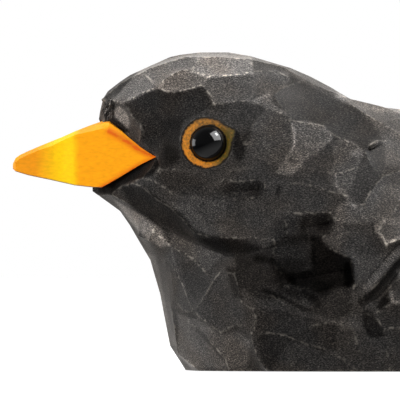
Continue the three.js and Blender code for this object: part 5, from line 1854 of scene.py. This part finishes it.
@dataclass(frozen=True)
class RingPaint:
    """Ochre and orange paint dabbed round the eye, ragged outside and thin at the rear, painted brighter on
    the lower front as painted light and dark next to the bead as the bead's painted shadow.

    Dab and relief are sizes of the pattern in millimetres.
    """

    ochre: str = "9C6820"
    bright: str = "DC861E"
    deep: str = "6A481A"
    thin: str = "544818"
    stain: str = "1C1812"
    dab: float = 0.6
    relief: float = 0.15

    def build(self) -> bpy.types.Material:
        """Makes the finish.

        Returns:
            The material.
        """
        # Dabs of half-glossy paint, bright points on ochre, brighter on the lower front as painted light,
        # olive where the black shows through, and stain-dark at the ragged outer edge and, as a painted
        # shadow, next to the bead.
        material, tree, shader = new_material("ochre_ring_paint", {
            "Roughness": 0.42, "IOR": 1.5, "Specular IOR Level": 0.3})
        add = partial(add_node, tree)
        place = add("ShaderNodeTexCoord").outputs["Object"]
        dabs = add("ShaderNodeTexNoise", {
            "Vector": place, "Scale": 1 / (self.dab * MM), "Detail": 4.0, "Roughness": 0.65}).outputs["Fac"]
        painted_ring_light, thin, rim = (add("ShaderNodeAttribute", attribute_name=name).outputs["Fac"]
                            for name in ("painted_ring_light", "thin", "rim"))
        # Painted light pushes the dabs towards the bright orange on the ring's lower front.
        dabs_and_light = add("ShaderNodeMath", {0: painted_ring_light, 1: 0.13, 2: dabs}, operation="MULTIPLY_ADD").outputs[0]
        ramp = add("ShaderNodeValToRGB", {"Fac": dabs_and_light})
        for stop, position, code in zip(ramp.color_ramp.elements, (0.3, 0.68), (self.deep, self.bright)):
            stop.position = position
            stop.color = linear(code)
        ramp.color_ramp.elements.new(0.47).color = linear(self.ochre)
        patchy = add("ShaderNodeMapRange", {
            "Value": dabs, "From Min": 0.72, "From Max": 0.5, "To Min": 0.4}).outputs["Result"]
        share = add("ShaderNodeMath", {0: thin, 1: patchy}, operation="MULTIPLY").outputs[0]
        colour = add("ShaderNodeMix", {
            "Factor": share, 6: ramp.outputs["Color"], 7: linear(self.thin)}, data_type="RGBA")
        # Stain colour at the ragged outer edge and, as the bead's painted shadow, next to the bead.
        ragged = add("ShaderNodeMath", {0: dabs, 1: 1.6, 2: rim}, operation="MULTIPLY_ADD").outputs[0]
        bared = add("ShaderNodeMapRange", {
            "Value": ragged, "From Min": 1.1, "From Max": 1.45}).outputs["Result"]
        edged = add("ShaderNodeMix", {
            "Factor": bared, 6: colour.outputs[2], 7: linear(self.stain)}, data_type="RGBA")
        tree.links.new(edged.outputs[2], shader.inputs["Base Color"])
        bump = add("ShaderNodeBump", {"Height": dabs, "Strength": 0.6, "Distance": self.relief * MM})
        tree.links.new(bump.outputs["Normal"], shader.inputs["Normal"])
        return material


@dataclass(frozen=True)
class BlackGlass:
    """Polished black glass with fine polishing marks, whose size is mark in millimetres."""

    tint: str = "060607"
    polish: tuple[float, float] = (0.05, 0.11)
    mark: float = 0.3

    def build(self) -> bpy.types.Material:
        """Makes the finish.

        Returns:
            The material.
        """
        # A black mirror in which only the windows and the table top show, a little softened.
        material, tree, shader = new_material("black_glass", {
            "Base Color": linear(self.tint), "IOR": 1.46, "Specular IOR Level": 0.5})
        add = partial(add_node, tree)
        place = add("ShaderNodeTexCoord").outputs["Object"]
        marks = add("ShaderNodeTexNoise", {
            "Vector": place, "Scale": 1 / (self.mark * MM), "Detail": 2.0}).outputs["Fac"]
        rough = add("ShaderNodeMapRange", {
            "Value": marks, "From Min": 0.3, "From Max": 0.7, "To Min": self.polish[0],
            "To Max": self.polish[1]}).outputs["Result"]
        tree.links.new(rough, shader.inputs["Roughness"])
        return material


@dataclass
class Studio:
    """Plain pale floor, soft light and the camera at the photograph's angle.

    Args:
        distance: From the camera to the bird, in metres.
        view_width: What the picture's width shows, in millimetres.
        aim: The picture's middle, in millimetres, before the shift.
        front: Brightness of the surround on the camera's side.
        back: Brightness of the surround behind the bird.
        below: Share of it that comes from below.
        table: Brightness of the table top that the glass eyes mirror.
        table_slant: How far the table's edge rises to the right in them.
        mirrored: Share of the surround that shows in them, as the room behind the camera is dark.
        floor_size: Width of the floor, in metres.
        floor_gap: How far the floor lies under the bird, in metres.
    """

    distance: float = 2.5
    view_width: float = 72.73
    aim: tuple[float, float, float] = (-12.36, 0.0, 30.9)
    front: float = 0.3
    back: float = 1.0
    below: float = 0.3
    table: float = 0.6
    table_slant: float = 0.42
    mirrored: float = 0.25
    floor_size: float = 6.0
    floor_gap: float = 0.0001

    def build(self) -> None:
        """Makes the camera, the world, the lights and the floor."""
        scene = bpy.context.scene
        lens = bpy.data.cameras.new("camera")
        camera = new_object("camera", lens)
        camera.location = (Vector(self.aim) + Vector((SHIFT, 0, 0))) * MM + Vector((0, -self.distance, 0))
        camera.rotation_euler = (math.radians(90), 0, 0)
        lens.lens = lens.sensor_width * self.distance / (self.view_width * MM)
        lens.clip_end = 20
        scene.camera = camera
        scene.view_settings.view_transform = "Standard"
        self.surround(scene)
        self.light("top", (-0.12, 0.30, 0.55), 0.5, 2.0).visible_glossy = False
        self.light("left", (-0.5, 0.0, 0.12), 0.35, 1.9).visible_glossy = False
        self.light("fill", (-0.3, -0.9, 0.4), 0.7, 7.6).visible_glossy = False
        self.light("window", (0.39, -0.22, 0.45), 0.56, 6.8).visible_diffuse = False
        self.light("lamp", (0.38, -0.12, 0.48), 0.15, 1.6).visible_diffuse = False
        self.light("side window", (-0.58, 0.08, 0.08), 0.26, 0.7).visible_diffuse = False
        self.floor()

    def surround(self, scene: bpy.types.Scene) -> None:
        """Makes the white surround, which lights the bird more from behind than from the camera's side.

        Args:
            scene: The scene.
        """
        world = bpy.data.worlds.new("studio")
        world.use_nodes = True
        scene.world = world
        tree = world.node_tree
        add = partial(add_node, tree)
        place = add("ShaderNodeTexCoord").outputs["Generated"]
        way = add("ShaderNodeSeparateXYZ", {0: place})
        behind = add("ShaderNodeMapRange", {
            "Value": way.outputs["Y"], "From Min": -0.3, "From Max": 0.5, "To Min": self.front,
            "To Max": self.back}, interpolation_type="SMOOTHSTEP").outputs["Result"]
        above = add("ShaderNodeMapRange", {
            "Value": way.outputs["Z"], "From Min": -0.3, "From Max": 0.1, "To Min": self.below,
            "To Max": 1.0}, interpolation_type="SMOOTHSTEP").outputs["Result"]
        glow = add("ShaderNodeMath", {0: behind, 1: above}, operation="MULTIPLY").outputs[0]
        path = add("ShaderNodeLightPath")
        level = add("ShaderNodeVectorMath", {0: place, 1: (-self.table_slant, 0, 1)},
                    operation="DOT_PRODUCT").outputs["Value"]
        table = add("ShaderNodeMapRange", {
            "Value": level, "From Min": 0.02, "From Max": -0.7, "To Max": self.table}).outputs["Result"]
        share = add("ShaderNodeMapRange", {
            "Value": path.outputs["Is Glossy Ray"], "To Min": 1.0, "To Max": self.mirrored}).outputs["Result"]
        dimmed = add("ShaderNodeMath", {0: glow, 1: share}, operation="MULTIPLY").outputs[0]
        mirrored = add("ShaderNodeMath", {0: path.outputs["Is Glossy Ray"], 1: table, 2: dimmed},
                       operation="MULTIPLY_ADD").outputs[0]
        mix = add("ShaderNodeMix", {
            "Factor": path.outputs["Is Camera Ray"], 6: mirrored, 7: (1, 1, 1, 1)}, data_type="RGBA")
        tree.links.new(mix.outputs[2], tree.nodes["Background"].inputs["Color"])

    def floor(self) -> None:
        """Lays the pale floor, which throws no light back up."""
        half = self.floor_size / 2
        mesh = bpy.data.meshes.new("floor")
        corners = [(-half, -half), (half, -half), (half, half), (-half, half)]
        mesh.from_pydata([(x, y, -self.floor_gap) for x, y in corners], [], [(0, 1, 2, 3)])
        # Plain matt paper without a highlight, as bright as the white round it.
        material = new_material("pale_paper_floor", {
            "Base Color": (0.6, 0.6, 0.6, 1), "Roughness": 1.0, "Specular IOR Level": 0.0,
            "Emission Color": (1, 1, 1, 1), "Emission Strength": 0.65})[0]
        mesh.materials.append(material)
        floor = new_object("floor", mesh)
        floor.visible_diffuse = False
        floor.visible_glossy = False

    def light(self, name: str, at: tuple[float, float, float], size: float, power: float) -> bpy.types.Object:
        """Adds a soft box that looks at the bird.

        Args:
            name: The light's name.
            at: Its place in metres.
            size: Its width in metres.
            power: Its power in watts.

        Returns:
            The light.
        """
        data = bpy.data.lights.new(name, "AREA")
        data.size = size
        data.energy = power
        lamp = new_object(name, data)
        lamp.location = at
        lamp.rotation_euler = (Vector((0, 0, 0.03)) - Vector(at)).to_track_quat("-Z", "Y").to_euler()
        return lamp


def main() -> None:
    """Builds the bust, its eyes and the studio."""
    wood = StainedLimewood().build()
    glass = BlackGlass().build()
    finishes = {Zone.STAINED: wood, Zone.BILL: BillPaint().build(), Zone.EYE_RING: RingPaint().build()}
    bust = CarvedBust()
    block = bust.build(finishes)
    pieces = [block, WingRibs().build(bust, wood)]
    pieces += [TornFibres(patch).build(bust, block, wood) for patch in TORN_PATCHES]
    pieces += [GlassEye(side).build(glass) for side in Side]
    for piece in pieces:
        piece.data.calc_loop_triangles()
        log.info("%s: %d triangles", piece.name, len(piece.data.loop_triangles))
    Studio().build()


if __name__ == "__main__":
    main()
